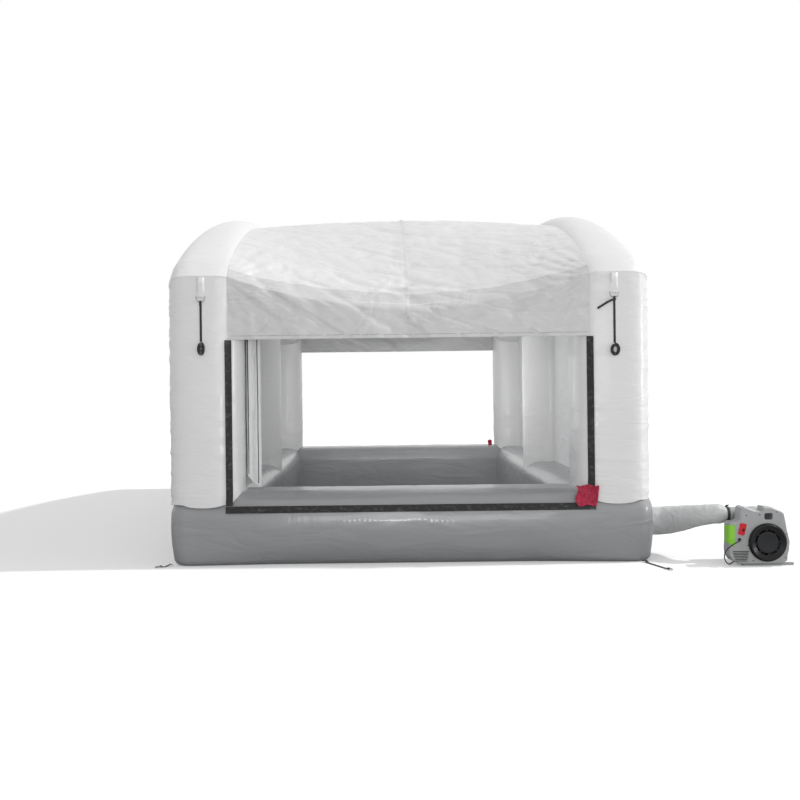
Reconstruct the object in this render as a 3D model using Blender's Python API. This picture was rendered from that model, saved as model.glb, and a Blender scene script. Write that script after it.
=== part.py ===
"""Inflatable paint booth: air-filled base ring, posts, roof arches and canopy, with its blower.

Booth centre on the floor at the origin, +Z up, front opening toward -Y, metres.
"""
import math

import bmesh
import bpy
from mathutils import Matrix, Vector

# Booth plan and tube sizes
POST_X = 1.68
POST_Y = 2.805
TUBE_R = 0.313
TUBE_SIDES = 20
TUBE_SKIN = 0.003
GAP = 0.0003
BASE_HALF = 0.32
BASE_H = 0.6
BASE_CORNER = 0.17
FOOT_CORNER = 0.07
PLAN_CORNER = 0.45
POST_FLAT = 0.13
BASE_ARC_STEPS = 4
CORNER_STEPS = 4
# Roof tubes: elbow centre height, centreline crown and divisions
ELBOW_Z = 2.233
ARCH_CROWN = 2.938
SEAM_RISE = 0.127
ARCH_SPANS = 10
ELBOW_STEPS = 4
# Canopy, measured at the middle of the roof
CANOPY_SKIN = 0.0025
CANOPY_COLUMNS = 12
FRONT_HEM_Z = 1.84
BACK_HEM_Z = 1.95
CROWN_RISE = 0.0855
# Sewn panels
WALL_SKIN = 0.004
FLOOR_SKIN = 0.003
HOOK_WIDTH = 0.057
HOOK_THICK = 0.004
# Curtain gathered beside the front left post
CURTAIN_RUNS = 16
CURTAIN_RUN = 0.085
CURTAIN_SPREAD = 0.118
CURTAIN_TOP = 2.13
CURTAIN_LOW = 0.621
CURTAIN_RISE = 0.14
CURTAIN_SKIN = 0.0014
# Straps and rings
WEB_WIDTH = 0.025
WEB_THICK = 0.003
ANCHOR_WIDTH = 0.03
RING_WIRE = 0.0035
# Air sleeve
SLEEVE_Y = -POST_Y + 0.14
SLEEVE_Z = 0.273
OUTLET_Y = -POST_Y - 0.29
OUTLET_R = 0.054
# Blower
FAN_X = 2.793
FAN_Z = 0.187
FACE_Y = -POST_Y - 0.52
SPLIT_Y = FACE_Y + 0.12
REAR_Y = FACE_Y + 0.34
HOUSING_W = 0.484
HOUSING_H = 0.468
SHELL_WALL = 0.006
OUTLET_X = FAN_X - 0.208
OUTLET_Z = FAN_Z + 0.198
GLAND_X = FAN_X - 0.220
GLAND_Z = FAN_Z + 0.025
INLET_R = 0.1
GUARD_R = 0.144
IMPELLER_R = 0.112
SHAFT_R = 0.006
# Mains cord
CORD_R = 0.0045
COIL_X = FAN_X + 0.007
COIL_Y = REAR_Y + 0.12
COIL_INNER = 0.038
COIL_PITCH = 0.0096
LAYER_TURNS = 2.5

SLOPE = 2.0 * math.atan2(ARCH_CROWN - ELBOW_Z, POST_Y)
ARC_R = POST_Y / math.sin(SLOPE)
ARC_Z = ARCH_CROWN - ARC_R
FLAT_R = TUBE_R * math.cos(math.pi / TUBE_SIDES)
CREASE = (math.pi / 2.0 - SLOPE) / 2.0
SEAM = math.atan2(SEAM_RISE, TUBE_R)
HALF_STEP = math.pi / TUBE_SIDES
POST_FRONT = POST_FLAT + (TUBE_R - POST_FLAT) * math.cos(HALF_STEP)
JOIN = 3.0 * HALF_STEP
JOIN_A = POST_FLAT + (TUBE_R - POST_FLAT) * math.sin(JOIN)
JOIN_B = POST_FLAT + (TUBE_R - POST_FLAT) * math.cos(JOIN)


def remove_everything():
    for item in list(bpy.data.objects):
        bpy.data.objects.remove(item)


def material(name, colour, rough, metal=0.0):
    """A plain surface finish."""
    found = bpy.data.materials.get(name)
    if found:
        return found
    made = bpy.data.materials.new(name)
    made.use_nodes = True
    shader = made.node_tree.nodes["Principled BSDF"]
    shader.inputs["Base Color"].default_value = (*colour, 1.0)
    shader.inputs["Roughness"].default_value = rough
    shader.inputs["Metallic"].default_value = metal
    return made


def node(name, points, faces, finish, sharp=35.0, merge=1e-5):
    """One named body from points and faces, doubles merged and sides turned outward."""
    mesh = bpy.data.meshes.new(name)
    mesh.from_pydata([tuple(p) for p in points], [], faces)
    work = bmesh.new()
    work.from_mesh(mesh)
    bmesh.ops.remove_doubles(work, verts=work.verts, dist=merge)
    bmesh.ops.dissolve_degenerate(work, edges=work.edges, dist=1e-6)
    bmesh.ops.recalc_face_normals(work, faces=work.faces)
    work.to_mesh(mesh)
    work.free()
    item = bpy.data.objects.new(name, mesh)
    bpy.context.scene.collection.objects.link(item)
    mesh.materials.append(finish)
    finish_shading(mesh, sharp)
    return item


def finish_shading(mesh, sharp):
    mesh.shade_smooth()
    mesh.set_sharp_from_angle(angle=math.radians(sharp))


def settle(item, sharp=35.0):
    """Turn the modifiers of a body into its mesh."""
    bpy.context.view_layer.update()
    graph = bpy.context.evaluated_depsgraph_get()
    mesh = bpy.data.meshes.new_from_object(item.evaluated_get(graph))
    item.modifiers.clear()
    item.data = mesh
    work = bmesh.new()
    work.from_mesh(mesh)
    bmesh.ops.remove_doubles(work, verts=work.verts, dist=1e-5)
    bmesh.ops.dissolve_degenerate(work, edges=work.edges, dist=1e-6)
    work.to_mesh(mesh)
    work.free()
    finish_shading(mesh, sharp)
    return item


def thicken(item, depth, side=-1.0, sharp=35.0):
    """Give an open surface a wall."""
    wall = item.modifiers.new("wall", "SOLIDIFY")
    wall.thickness = depth
    wall.offset = side
    wall.use_even_offset = True
    return settle(item, sharp)


def combine(item, other, operation, sharp=35.0, keep=False):
    """Join or cut two closed bodies into the first."""
    change = item.modifiers.new("form", "BOOLEAN")
    change.operation = operation
    change.solver = "EXACT"
    change.object = other
    settle(item, sharp)
    if not keep:
        bpy.data.objects.remove(other)
    return item


def cut(item, other, sharp=35.0, keep=False):
    return combine(item, other, "DIFFERENCE", sharp, keep)


def join(item, other, sharp=35.0):
    return combine(item, other, "UNION", sharp)


def skin_faces(rows, columns, wrap_rows=False, wrap_columns=False):
    """Quads between rows of points laid out one row after another."""
    faces = []
    for r in range(rows if wrap_rows else rows - 1):
        for c in range(columns if wrap_columns else columns - 1):
            a = r * columns + c
            b = r * columns + (c + 1) % columns
            d = ((r + 1) % rows) * columns + c
            e = ((r + 1) % rows) * columns + (c + 1) % columns
            faces.append((a, b, e, d))
    return faces


def loft(name, rings, finish, caps=True, sharp=35.0, wrap=False):
    """A body through rings of equally many points."""
    count = len(rings[0])
    points = [p for ring in rings for p in ring]
    faces = skin_faces(len(rings), count, wrap_rows=wrap, wrap_columns=True)
    if caps and not wrap:
        faces.append(tuple(range(count))[::-1])
        last = (len(rings) - 1) * count
        faces.append(tuple(range(last, last + count)))
    return node(name, points, faces, finish, sharp)


def frames(path, first_side, closed=False):
    """Two cross directions at each path point, carried along without twist."""
    count = len(path)
    side = Vector(first_side).normalized()
    found = []
    for i in range(count):
        if closed:
            along = path[(i + 1) % count] - path[i - 1]
        else:
            along = path[min(i + 1, count - 1)] - path[max(i - 1, 0)]
        along.normalize()
        side = (side - along * side.dot(along)).normalized()
        found.append((side.copy(), along.cross(side)))
    return found


def sweep(name, path, section, finish, first_side=(0, 0, 1), closed=False, sharp=35.0, caps=True):
    """Carry a flat section (side, cross pairs) along a path."""
    path = [Vector(p) for p in path]
    rings = []
    for here, (side, cross) in zip(path, frames(path, first_side, closed)):
        rings.append([here + side * a + cross * b for a, b in section])
    return loft(name, rings, finish, caps, sharp, wrap=closed)


def ribbon(name, path, width_dirs, width, thick, finish, sharp=35.0):
    """A flat band along a path; the width directions are given point by point."""
    path = [Vector(p) for p in path]
    dirs = [Vector(d).normalized() for d in width_dirs]
    rings = []
    for i, here in enumerate(path):
        back = path[i] - path[i - 1] if i else path[1] - path[0]
        ahead = path[i + 1] - path[i] if i + 1 < len(path) else back
        bend = back.normalized() + ahead.normalized()
        bend.normalize()
        across = dirs[i]
        face = bend.cross(across).normalized()
        grow = 1.0 / max(0.5, bend.dot(ahead.normalized()))
        half = thick * 0.5 * grow
        w = width * 0.5
        rings.append([here + across * w + face * half, here - across * w + face * half,
                      here - across * w - face * half, here + across * w - face * half])
    points = [p for ring in rings for p in ring]
    faces = [(3, 2, 1, 0)]
    for r in range(len(rings) - 1):
        a = 4 * r
        faces += [(a + 1, a + 2, a + 6, a + 5), (a + 3, a, a + 4, a + 7)]
        faces += [(a, a + 1, a + 5), (a, a + 5, a + 4), (a + 3, a + 6, a + 2), (a + 3, a + 7, a + 6)]
    last = len(points) - 4
    faces.append((last, last + 1, last + 2, last + 3))
    return node(name, points, faces, finish, sharp)


def circle(radius, sides, turn=0.0):
    step = 2.0 * math.pi / sides
    return [(radius * math.cos(turn + i * step), radius * math.sin(turn + i * step))
            for i in range(sides)]


def disc_ring(centre, u_dir, v_dir, radius, sides, turn=0.0):
    u_dir = Vector(u_dir)
    v_dir = Vector(v_dir)
    return [Vector(centre) + u_dir * a + v_dir * b for a, b in circle(radius, sides, turn)]


def rod(name, start, end, radius, sides, finish, up=(0, 0, 1), sharp=35.0):
    """A plain round bar."""
    start = Vector(start)
    end = Vector(end)
    return sweep(name, [start, end], circle(radius, sides), finish, up, False, sharp)


def box(name, low, high, finish, sharp=35.0):
    x0, y0, z0 = low
    x1, y1, z1 = high
    lower = [(x0, y0, z0), (x1, y0, z0), (x1, y1, z0), (x0, y1, z0)]
    upper = [(x, y, z1) for x, y, _ in lower]
    return loft(name, [lower, upper], finish, True, sharp)


def spun(name, profile, centre, sides, finish, sharp=35.0):
    """A ring turned about the Y axis through centre; profile is (radius, y) pairs, a closed loop."""
    rings = []
    for i in range(sides):
        t = 2.0 * math.pi * i / sides
        rings.append([Vector((centre[0] + r * math.cos(t), y, centre[2] + r * math.sin(t)))
                      for r, y in profile])
    return loft(name, rings, finish, False, sharp, wrap=True)


def smooth_path(route, steps):
    """Catmull-Rom points through a hand-chosen route."""
    route = [Vector(p) for p in route]
    ends = [route[0] * 2 - route[1]] + route + [route[-1] * 2 - route[-2]]
    path = []
    for i in range(1, len(ends) - 2):
        a, b, c, d = ends[i - 1:i + 3]
        for k in range(steps):
            t = k / steps
            path.append(0.5 * (2 * b + (c - a) * t + (2 * a - 5 * b + 4 * c - d) * t * t
                               + (3 * b - a - 3 * c + d) * t ** 3))
    path.append(route[-1])
    return path


def spaced(path, step):
    """Points at about equal spacing along a path, both ends kept."""
    total = sum((b - a).length for a, b in zip(path, path[1:]))
    count = max(2, round(total / step))
    wanted = total / count
    found = [path[0].copy()]
    run = 0.0
    due = wanted
    for a, b in zip(path, path[1:]):
        length = (b - a).length
        while due <= run + length + 1e-9 and len(found) < count:
            found.append(a.lerp(b, (due - run) / length))
            due += wanted
        run += length
    found.append(path[-1].copy())
    return found


def cord_tube(name, path, radius, finish, resolution=2):
    """A round cord as a bevelled line with filled ends."""
    line = bpy.data.curves.new(name, "CURVE")
    line.dimensions = "3D"
    line.bevel_depth = radius
    line.bevel_resolution = resolution
    line.use_fill_caps = True
    spline = line.splines.new("POLY")
    spline.points.add(len(path) - 1)
    for point, here in zip(spline.points, path):
        point.co = (*here, 1.0)
    spline.use_smooth = True
    item = bpy.data.objects.new(name, line)
    line.materials.append(finish)
    bpy.context.scene.collection.objects.link(item)
    return item


remove_everything()

WHITE = material("white_fabric", (0.80, 0.80, 0.80), 0.55)
GREY = material("grey_fabric", (0.27, 0.28, 0.29), 0.5)
FLOOR = material("floor_fabric", (0.30, 0.31, 0.32), 0.6)
VEIL = material("curtain_fabric", (0.62, 0.63, 0.64), 0.6)
HOOK = material("hook_strip_black", (0.035, 0.035, 0.037), 0.85)
RED_TAG = material("red_tag_fabric", (0.62, 0.03, 0.08), 0.7)
WEBBING = material("black_webbing", (0.02, 0.02, 0.02), 0.75)
PALE_TAB = material("pale_tab", (0.74, 0.74, 0.73), 0.6)
STEEL = material("ring_steel", (0.42, 0.42, 0.43), 0.35, 1.0)
SLEEVE = material("sleeve_fabric", (0.42, 0.43, 0.44), 0.55)
HOUSING = material("housing_plastic", (0.30, 0.31, 0.31), 0.45)
BLACK = material("black_plastic", (0.018, 0.018, 0.02), 0.4)
SWITCH_RED = material("switch_red", (0.70, 0.03, 0.04), 0.4)
MOTOR = material("motor_steel", (0.35, 0.35, 0.36), 0.4, 1.0)
CORD = material("cord_rubber", (0.02, 0.02, 0.021), 0.6)


def base_section(grow=0.0):
    """Base tube outline as (outward, height) pairs, flat underneath, with tight lower corners."""
    outline = [(0.0, BASE_H + grow)]
    for side, r, first in ((1, BASE_CORNER, 90), (1, FOOT_CORNER, 0), (-1, FOOT_CORNER, -90),
                           (-1, BASE_CORNER, -180)):
        cu = side * (BASE_HALF - r)
        cz = BASE_H - r if r == BASE_CORNER else r
        if first == -90:
            outline.append((0.0, -grow))
        for k in range(BASE_ARC_STEPS + 1):
            t = math.radians(first - k * 90.0 / BASE_ARC_STEPS)
            outline.append((cu + (r + grow) * math.cos(t), cz + (r + grow) * math.sin(t)))
    return outline


def plan_corner(outward, onward, u, degrees):
    """Offset from the corner's centre to the rounded outer corner at distance u."""
    t = math.radians(degrees)
    r = PLAN_CORNER * u
    return outward * (u - r + r * math.cos(t)) + onward * (u - r + r * math.sin(t))


def base_rings(outward, along, offset, length, grow, gap):
    """Rings of one base tube from mitre to mitre, its outer corners rounded in plan."""
    outward = Vector(outward)
    along = Vector(along)
    up = Vector((0, 0, 1))
    rings = []
    turns = [45.0 * (1 - k / CORNER_STEPS) for k in range(CORNER_STEPS + 1)]
    for end in (-1.0, 1.0):
        corner = outward * offset + along * (end * length)
        for turn in turns if end < 0 else turns[::-1]:
            ring = []
            for u, z in base_section(grow):
                if u > 1e-6:
                    here = corner + plan_corner(outward, along * end, u, turn)
                    if turn > 44:
                        here = here - along * (end * gap)
                else:
                    here = corner - (outward + along * end) * abs(u) - along * (end * gap)
                ring.append(here + up * z)
            rings.append(ring)
    return rings


def base_tube(name, outward, along, offset, length):
    gap = GAP * 0.5 * math.sqrt(2.0)
    outer = base_rings(outward, along, offset, length, 0.0, gap)
    inner = base_rings(outward, along, offset, length, -TUBE_SKIN, gap)
    return loft(name, outer + inner[::-1], GREY, False, 40.0, wrap=True)


def base_cutter():
    """The whole base ring, grown by the gap, as one closed form."""
    rings = []
    for k in range(4):
        turn = k * math.pi / 2.0
        way = Vector((round(math.sin(turn)), -round(math.cos(turn)), 0))
        side = Vector((round(math.cos(turn)), round(math.sin(turn)), 0))
        spans = (POST_Y, POST_X) if k % 2 == 0 else (POST_X, POST_Y)
        corner = way * spans[0] + side * spans[1]
        for step in range(2 * CORNER_STEPS + 1):
            turn = 45.0 * step / CORNER_STEPS
            ring = []
            for u, z in base_section(GAP):
                flat = plan_corner(way, side, u, turn) if u > 1e-6 else (way + side) * u
                ring.append(corner + flat + Vector((0, 0, z)))
            rings.append(ring)
    return loft("base_form", rings, GREY, False, 40.0, wrap=True)


def tube_angles():
    """Section points by angle from the outer side: facet edges and the two side points."""
    step = 360.0 / TUBE_SIDES
    turns = [step / 2.0 + step * k - 180.0 for k in range(TUBE_SIDES)]
    return sorted(turns + [-90.0, 90.0])


def tube_points(radius, square=0.0):
    """(sideways, outward) pairs round a tube; square 1 gives the end posts' flatter faces."""
    flat = POST_FLAT * square
    found = []
    for turn in tube_angles():
        t = math.radians(turn)
        a, b = math.sin(t), math.cos(t)
        if abs(turn) == 90.0:
            found.append((a * (flat + (radius - flat) * math.cos(HALF_STEP)), 0.0))
            continue
        found.append((math.copysign(flat, a) + (radius - flat) * a,
                      math.copysign(flat, b) + (radius - flat) * b))
    return found


def squareness(i):
    """How square the roof tube is at division i from its end: it turns round within three."""
    return max(0.0, 1.0 - i / 3.0)


def join_height(square):
    """Outward distance of the tube's surface where the canopy is joined to it."""
    points = sorted(p for p in tube_points(TUBE_R, square) if p[0] > 0 and p[1] > 0)
    for (a0, b0), (a1, b1) in zip(points, points[1:]):
        if a0 <= JOIN_A + 1e-9 <= a1 + 2e-9:
            return b0 + (b1 - b0) * (JOIN_A - a0) / (a1 - a0)
    return points[-1][1]


def flat_distance(square):
    flat = POST_FLAT * square
    return flat + (TUBE_R - flat) * math.cos(HALF_STEP)


def end_post(name, x_side, y_side, form):
    """Corner post: its top rises to the seam in front and falls to the crease behind."""
    walls = []
    for radius in (TUBE_R, TUBE_R - TUBE_SKIN):
        low = []
        high = []
        for a, b in tube_points(radius, 1.0):
            x = x_side * POST_X + a
            y = y_side * (POST_Y + b)
            top = ELBOW_Z - GAP + b * math.tan(CREASE if b < 0 else SEAM)
            low.append((x, y, BASE_H - 0.2))
            high.append((x, y, top))
        walls.append([low, high])
    item = loft(name, walls[0] + walls[1][::-1], WHITE, False, 28.0, wrap=True)
    return cut(item, form, 28.0, keep=True)


def arch_point(turn):
    """Centre, outward and onward directions of a roof arch, in (y, z), at an angle from the crown."""
    centre = Vector((0.0, ARC_R * math.sin(turn), ARC_Z + ARC_R * math.cos(turn)))
    out = Vector((0.0, math.sin(turn), math.cos(turn)))
    onward = Vector((0.0, math.cos(turn), -math.sin(turn)))
    return centre, out, onward


def arch_turns():
    return [SLOPE * (2.0 * i / ARCH_SPANS - 1.0) for i in range(1, ARCH_SPANS)]


def elbow_out(end, k):
    """Outward vector of elbow station k, from the post's front seam (0) to the arch end.

    Its length is the tube's stretch there: 1 on a round tube, more at the seam's corner."""
    t = SEAM + (math.pi / 2.0 - SLOPE - SEAM) * k / ELBOW_STEPS
    way = Vector((math.cos(t), math.sin(t)))
    corner = Vector((1.0, math.tan(SEAM)))
    run = Vector((math.sin(SLOPE), math.cos(SLOPE))) - corner
    stretch = corner.cross(run) / way.cross(run)
    return Vector((0.0, end * way.x, way.y)) * stretch


def arch_rings(x, radius):
    """Rings of one roof arch with the elbow at each end."""
    across = Vector((1, 0, 0))
    mid = Vector((x, 0, 0))
    section = tube_points(radius, 1.0)

    def elbow(end):
        heart = Vector((x, end * POST_Y, ELBOW_Z))
        _, out_end, onward = arch_point(end * SLOPE)
        inward = onward * -end
        found = []
        for k in range(ELBOW_STEPS + 1):
            out = elbow_out(end, k)
            ring = []
            for a, b in section:
                if b > -1e-6:
                    ring.append(heart + across * a + out * b)
                else:
                    ring.append(heart + across * a + out_end * b - inward * (b * math.tan(CREASE)))
            found.append(ring)
        return found

    rings = elbow(-1)
    for i, turn in enumerate(arch_turns(), 1):
        centre, out, _ = arch_point(turn)
        section_here = tube_points(radius, squareness(min(i, ARCH_SPANS - i)))
        rings.append([mid + centre + across * a + out * b for a, b in section_here])
    return rings + elbow(1)[::-1]


def roof_arch(name, x):
    outer = arch_rings(x, TUBE_R)
    inner = arch_rings(x, TUBE_R - TUBE_SKIN)
    return loft(name, outer + inner[::-1], WHITE, False, 28.0, wrap=True)


def middle_post(name, x_side, form):
    """Side post between the base and the underside of the arch."""
    walls = []
    for radius in (TUBE_R, TUBE_R - TUBE_SKIN):
        section = tube_points(radius)
        walls.append([[(x_side * POST_X + a, b, z) for a, b in section]
                      for z in (BASE_H - 0.2, ARCH_CROWN - 0.02)])
    item = loft(name, walls[0] + walls[1][::-1], WHITE, False, 28.0, wrap=True)
    cut(item, form, 28.0, keep=True)
    rings = []
    for turn in arch_turns()[2:-2]:
        centre, out, _ = arch_point(turn)
        rings.append([Vector((x_side * POST_X + a, 0, 0)) + centre + out * b
                      for a, b in tube_points(TUBE_R + GAP)])
    return cut(item, loft("arch_form", rings, WHITE), 28.0)


def arch_underside():
    """(y, z) points along the underside flat of an arch, front to back."""
    points = []
    for end in (-1, 1):
        heart = Vector((0, end * POST_Y, ELBOW_Z))
        _, out, onward = arch_point(end * SLOPE)
        low = heart - out * POST_FRONT + onward * (-end * POST_FRONT * math.tan(CREASE))
        points.append((low.y, low.z))
    for i, turn in enumerate(arch_turns(), 1):
        centre, out, _ = arch_point(turn)
        low = centre - out * flat_distance(squareness(min(i, ARCH_SPANS - i)))
        points.append((low.y, low.z))
    return sorted(points)


def side_wall(name, x_side, y_side):
    """Flat fabric panel between two posts, top edge along the arch."""
    y0 = FLAT_R + GAP
    y1 = POST_Y - POST_FRONT - GAP
    under = [(abs(y), z) for y, z in arch_underside() if y >= -1e-6]

    def top(y):
        for (ya, za), (yb, zb) in zip(under, under[1:]):
            if y <= yb + 1e-9:
                return za + (zb - za) * (y - ya) / (yb - ya) - GAP * 1.3
        return under[-1][1] - GAP * 1.3

    marks = [y0] + [y for y, _ in under if y0 + 0.02 < y < y1 - 0.02] + [y1]
    edge = [(y, BASE_H + GAP) for y in (y0, y1)] + [(y, top(y)) for y in marks[::-1]]
    rings = []
    for dx in (-WALL_SKIN / 2, WALL_SKIN / 2):
        rings.append([(x_side * POST_X + dx, y_side * y, z) for y, z in edge])
    return loft(name, rings, WHITE)


def canopy_edges(end):
    """(y, z) of the canopy's side edge from hem to just before the crown, one end."""
    lift = JOIN_B + GAP
    hem = FRONT_HEM_Z if end < 0 else BACK_HEM_Z
    seam = ELBOW_Z + lift * math.tan(SEAM)
    points = [(end * (POST_Y + lift), hem + (seam - hem) * f) for f in (0.0, 0.33, 0.68)]
    for k in range(ELBOW_STEPS + 1):
        out = elbow_out(end, k)
        points.append((end * POST_Y + out.y * lift, ELBOW_Z + out.z * lift))
    turns = arch_turns()
    half = turns[:ARCH_SPANS // 2 - 1] if end < 0 else turns[:-(ARCH_SPANS // 2):-1]
    for i, turn in enumerate(half, 1):
        centre, out, _ = arch_point(turn)
        lift = join_height(squareness(i)) + GAP
        points.append((centre.y + out.y * lift, centre.z + out.z * lift))
    return points


def canopy_crown():
    return ARCH_CROWN + join_height(0.0) + GAP + CROWN_RISE


def canopy_middle(end):
    """(y, z) along the middle of the canopy, matching canopy_edges."""
    hem = FRONT_HEM_Z if end < 0 else BACK_HEM_Z
    bulge = POST_Y + JOIN_B + 0.004
    inset = (0.0, 0.008, 0.018, 0.035, 0.095, 0.185, 0.315, 0.495)
    rise = (0.0, 0.11, 0.19, 0.25, 0.31, 0.395, 0.49, 0.61)
    points = [(end * (bulge - a), hem + b + (FRONT_HEM_Z - hem) * min(1.0, b / 0.25))
              for a, b in zip(inset, rise)]
    for share, drop in ((0.821, 0.610), (0.6455, 0.375), (0.431, 0.160), (0.2164, 0.040)):
        points.append((end * share * POST_Y, canopy_crown() - drop))
    return points


def roof_canopy():
    """One fabric sheet: front valance, roof and back valance."""
    lift = join_height(0.0) + GAP
    reach = POST_X - JOIN_A
    edges = canopy_edges(-1) + [(0.0, ARCH_CROWN + lift)] + canopy_edges(1)[::-1]
    crown = (0.0, canopy_crown())
    middle = canopy_middle(-1) + [crown] + canopy_middle(1)[::-1]
    points = []
    for (ey, ez), (my, mz) in zip(edges, middle):
        for c in range(CANOPY_COLUMNS + 1):
            u = math.sin(math.pi * (c / CANOPY_COLUMNS - 0.5))
            f = 1.0 - u * u
            points.append((u * reach, ey + (my - ey) * f, ez + (mz - ez) * f))
    faces = skin_faces(len(edges), CANOPY_COLUMNS + 1)
    item = node("roof_canopy", points, faces, WHITE, 40.0)
    if item.data.polygons[len(faces) // 2].normal.z < 0:
        item.data.flip_normals()
    return thicken(item, CANOPY_SKIN, 1.0, 40.0)


def build_booth():
    y_axis = (0, 1, 0)
    x_axis = (1, 0, 0)
    base_tube("base_front", (0, -1, 0), x_axis, POST_Y, POST_X)
    base_tube("base_back", (0, 1, 0), x_axis, POST_Y, POST_X)
    base_tube("base_left", (-1, 0, 0), y_axis, POST_X, POST_Y)
    base_tube("base_right", (1, 0, 0), y_axis, POST_X, POST_Y)
    form = base_cutter()
    for side, x_side in (("left", -1), ("right", 1)):
        end_post("post_front_" + side, x_side, -1, form)
        end_post("post_back_" + side, x_side, 1, form)
        middle_post("post_middle_" + side, x_side, form)
        roof_arch("roof_arch_" + side, x_side * POST_X)
        side_wall("side_wall_" + side + "_front", x_side, -1)
        side_wall("side_wall_" + side + "_back", x_side, 1)
    roof_canopy()
    reach_x = POST_X - (BASE_HALF - FOOT_CORNER) - 0.0178
    reach_y = POST_Y - (BASE_HALF - FOOT_CORNER) - 0.0178
    box("floor_sheet", (-reach_x, -reach_y, 0.0), (reach_x, reach_y, FLOOR_SKIN), FLOOR)
    return form


def base_out(turn, lift):
    """(outward, height) on the upper outer curve of the base, turn in degrees above level."""
    r = BASE_CORNER + lift
    t = math.radians(turn)
    return BASE_HALF - BASE_CORNER + r * math.cos(t), BASE_H - BASE_CORNER + r * math.sin(t)


def jamb_strip(name, x_side, y_side, top):
    """Hook strip down the inner front of a post and over the base's shoulder."""
    out = Vector((-x_side * math.sin(JOIN), y_side * math.cos(JOIN), 0.0))
    across = Vector((-out.y, out.x, 0.0)) * -y_side
    edge = Vector((x_side * (POST_X - JOIN_A), y_side * (POST_Y + JOIN_B), 0.0))
    face = edge + out * (GAP + HOOK_THICK / 2)
    path = [face + Vector((0, 0, z)) for z in (top, 1.3, BASE_H - 0.025)]
    u, z = base_out(22.5, (GAP + HOOK_THICK / 2) / math.cos(math.radians(11.25)))
    path.append(Vector((face.x, y_side * (POST_Y + u), z)))
    return ribbon(name, path, [across] * 3 + [Vector((1, 0, 0))], HOOK_WIDTH, HOOK_THICK, HOOK)


def sill_strip(name, y_side):
    """Hook strip along the base's first upper flat."""
    turn = math.radians(11.25)
    r = BASE_CORNER * math.cos(turn) + GAP + HOOK_THICK / 2
    u = BASE_HALF - BASE_CORNER + r * math.cos(turn)
    z = BASE_H - BASE_CORNER + r * math.sin(turn)
    y = y_side * (POST_Y + u)
    rise = Vector((0, -y_side * math.sin(turn), math.cos(turn)))
    half = POST_X - JOIN_A + HOOK_WIDTH / 2
    path = [(-half, y, z), (0, y, z), (half, y, z)]
    return ribbon(name, path, [rise] * 3, HOOK_WIDTH, HOOK_THICK, HOOK)


def crumple(a, b):
    """Bump height of bunched cloth, 0 to 1."""
    wave = math.sin(5.1 * a + 2.3 * b) + 0.7 * math.sin(9.0 * b - 3.7 * a + 0.8)
    return 0.5 + 0.29 * wave


def pull_tag():
    """Bunched red tag over the front right corner of the hook frame."""
    cells = 9
    over = HOOK_THICK + 2 * GAP + 0.0012
    low_u, low_z = base_out(22.5, 0.0)
    fall = (low_u - JOIN_B) / (BASE_H - 0.025 - low_z)
    reach = JOIN_A * math.sin(JOIN) + JOIN_B * math.cos(JOIN) + over - 0.0026
    points = []
    for r in range(cells + 1):
        b = r / cells
        z = BASE_H + 0.030 - 0.162 * b
        for c in range(cells + 1):
            a = c / cells
            edge = 0.012 * math.sin(7.0 * b)
            x = POST_X - 0.340 + edge + (0.178 - edge - 0.02 * b * b) * a
            rise = z - BASE_H + BASE_CORNER
            curve = math.sqrt(max(0.0, (BASE_CORNER + over) ** 2 - rise ** 2))
            u = BASE_HALF - BASE_CORNER + curve
            plane = (reach - (POST_X - x) * math.sin(JOIN)) / math.cos(JOIN)
            strip = low_u + (low_z - z) * fall + 1.4 * over + 0.004
            lift = 0.016 * crumple(4 * a, 4 * b)
            points.append((x, -(POST_Y + max(u, plane, strip) + lift), z - 0.006 * math.sin(9 * a)))
    faces = skin_faces(cells + 1, cells + 1)
    item = node("pull_tag_front_right", points, faces, RED_TAG, 60.0)
    return thicken(item, 0.0012, 0.0, 60.0)


def loop_round(centre, out, up, radius, first, last, steps):
    """Points of a wrap round a ring's bar, angles from the outward direction."""
    path = []
    for i in range(steps + 1):
        t = math.radians(first + (last - first) * i / steps)
        path.append(centre + out * (radius * math.cos(t)) + up * (radius * math.sin(t)))
    return path


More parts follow.
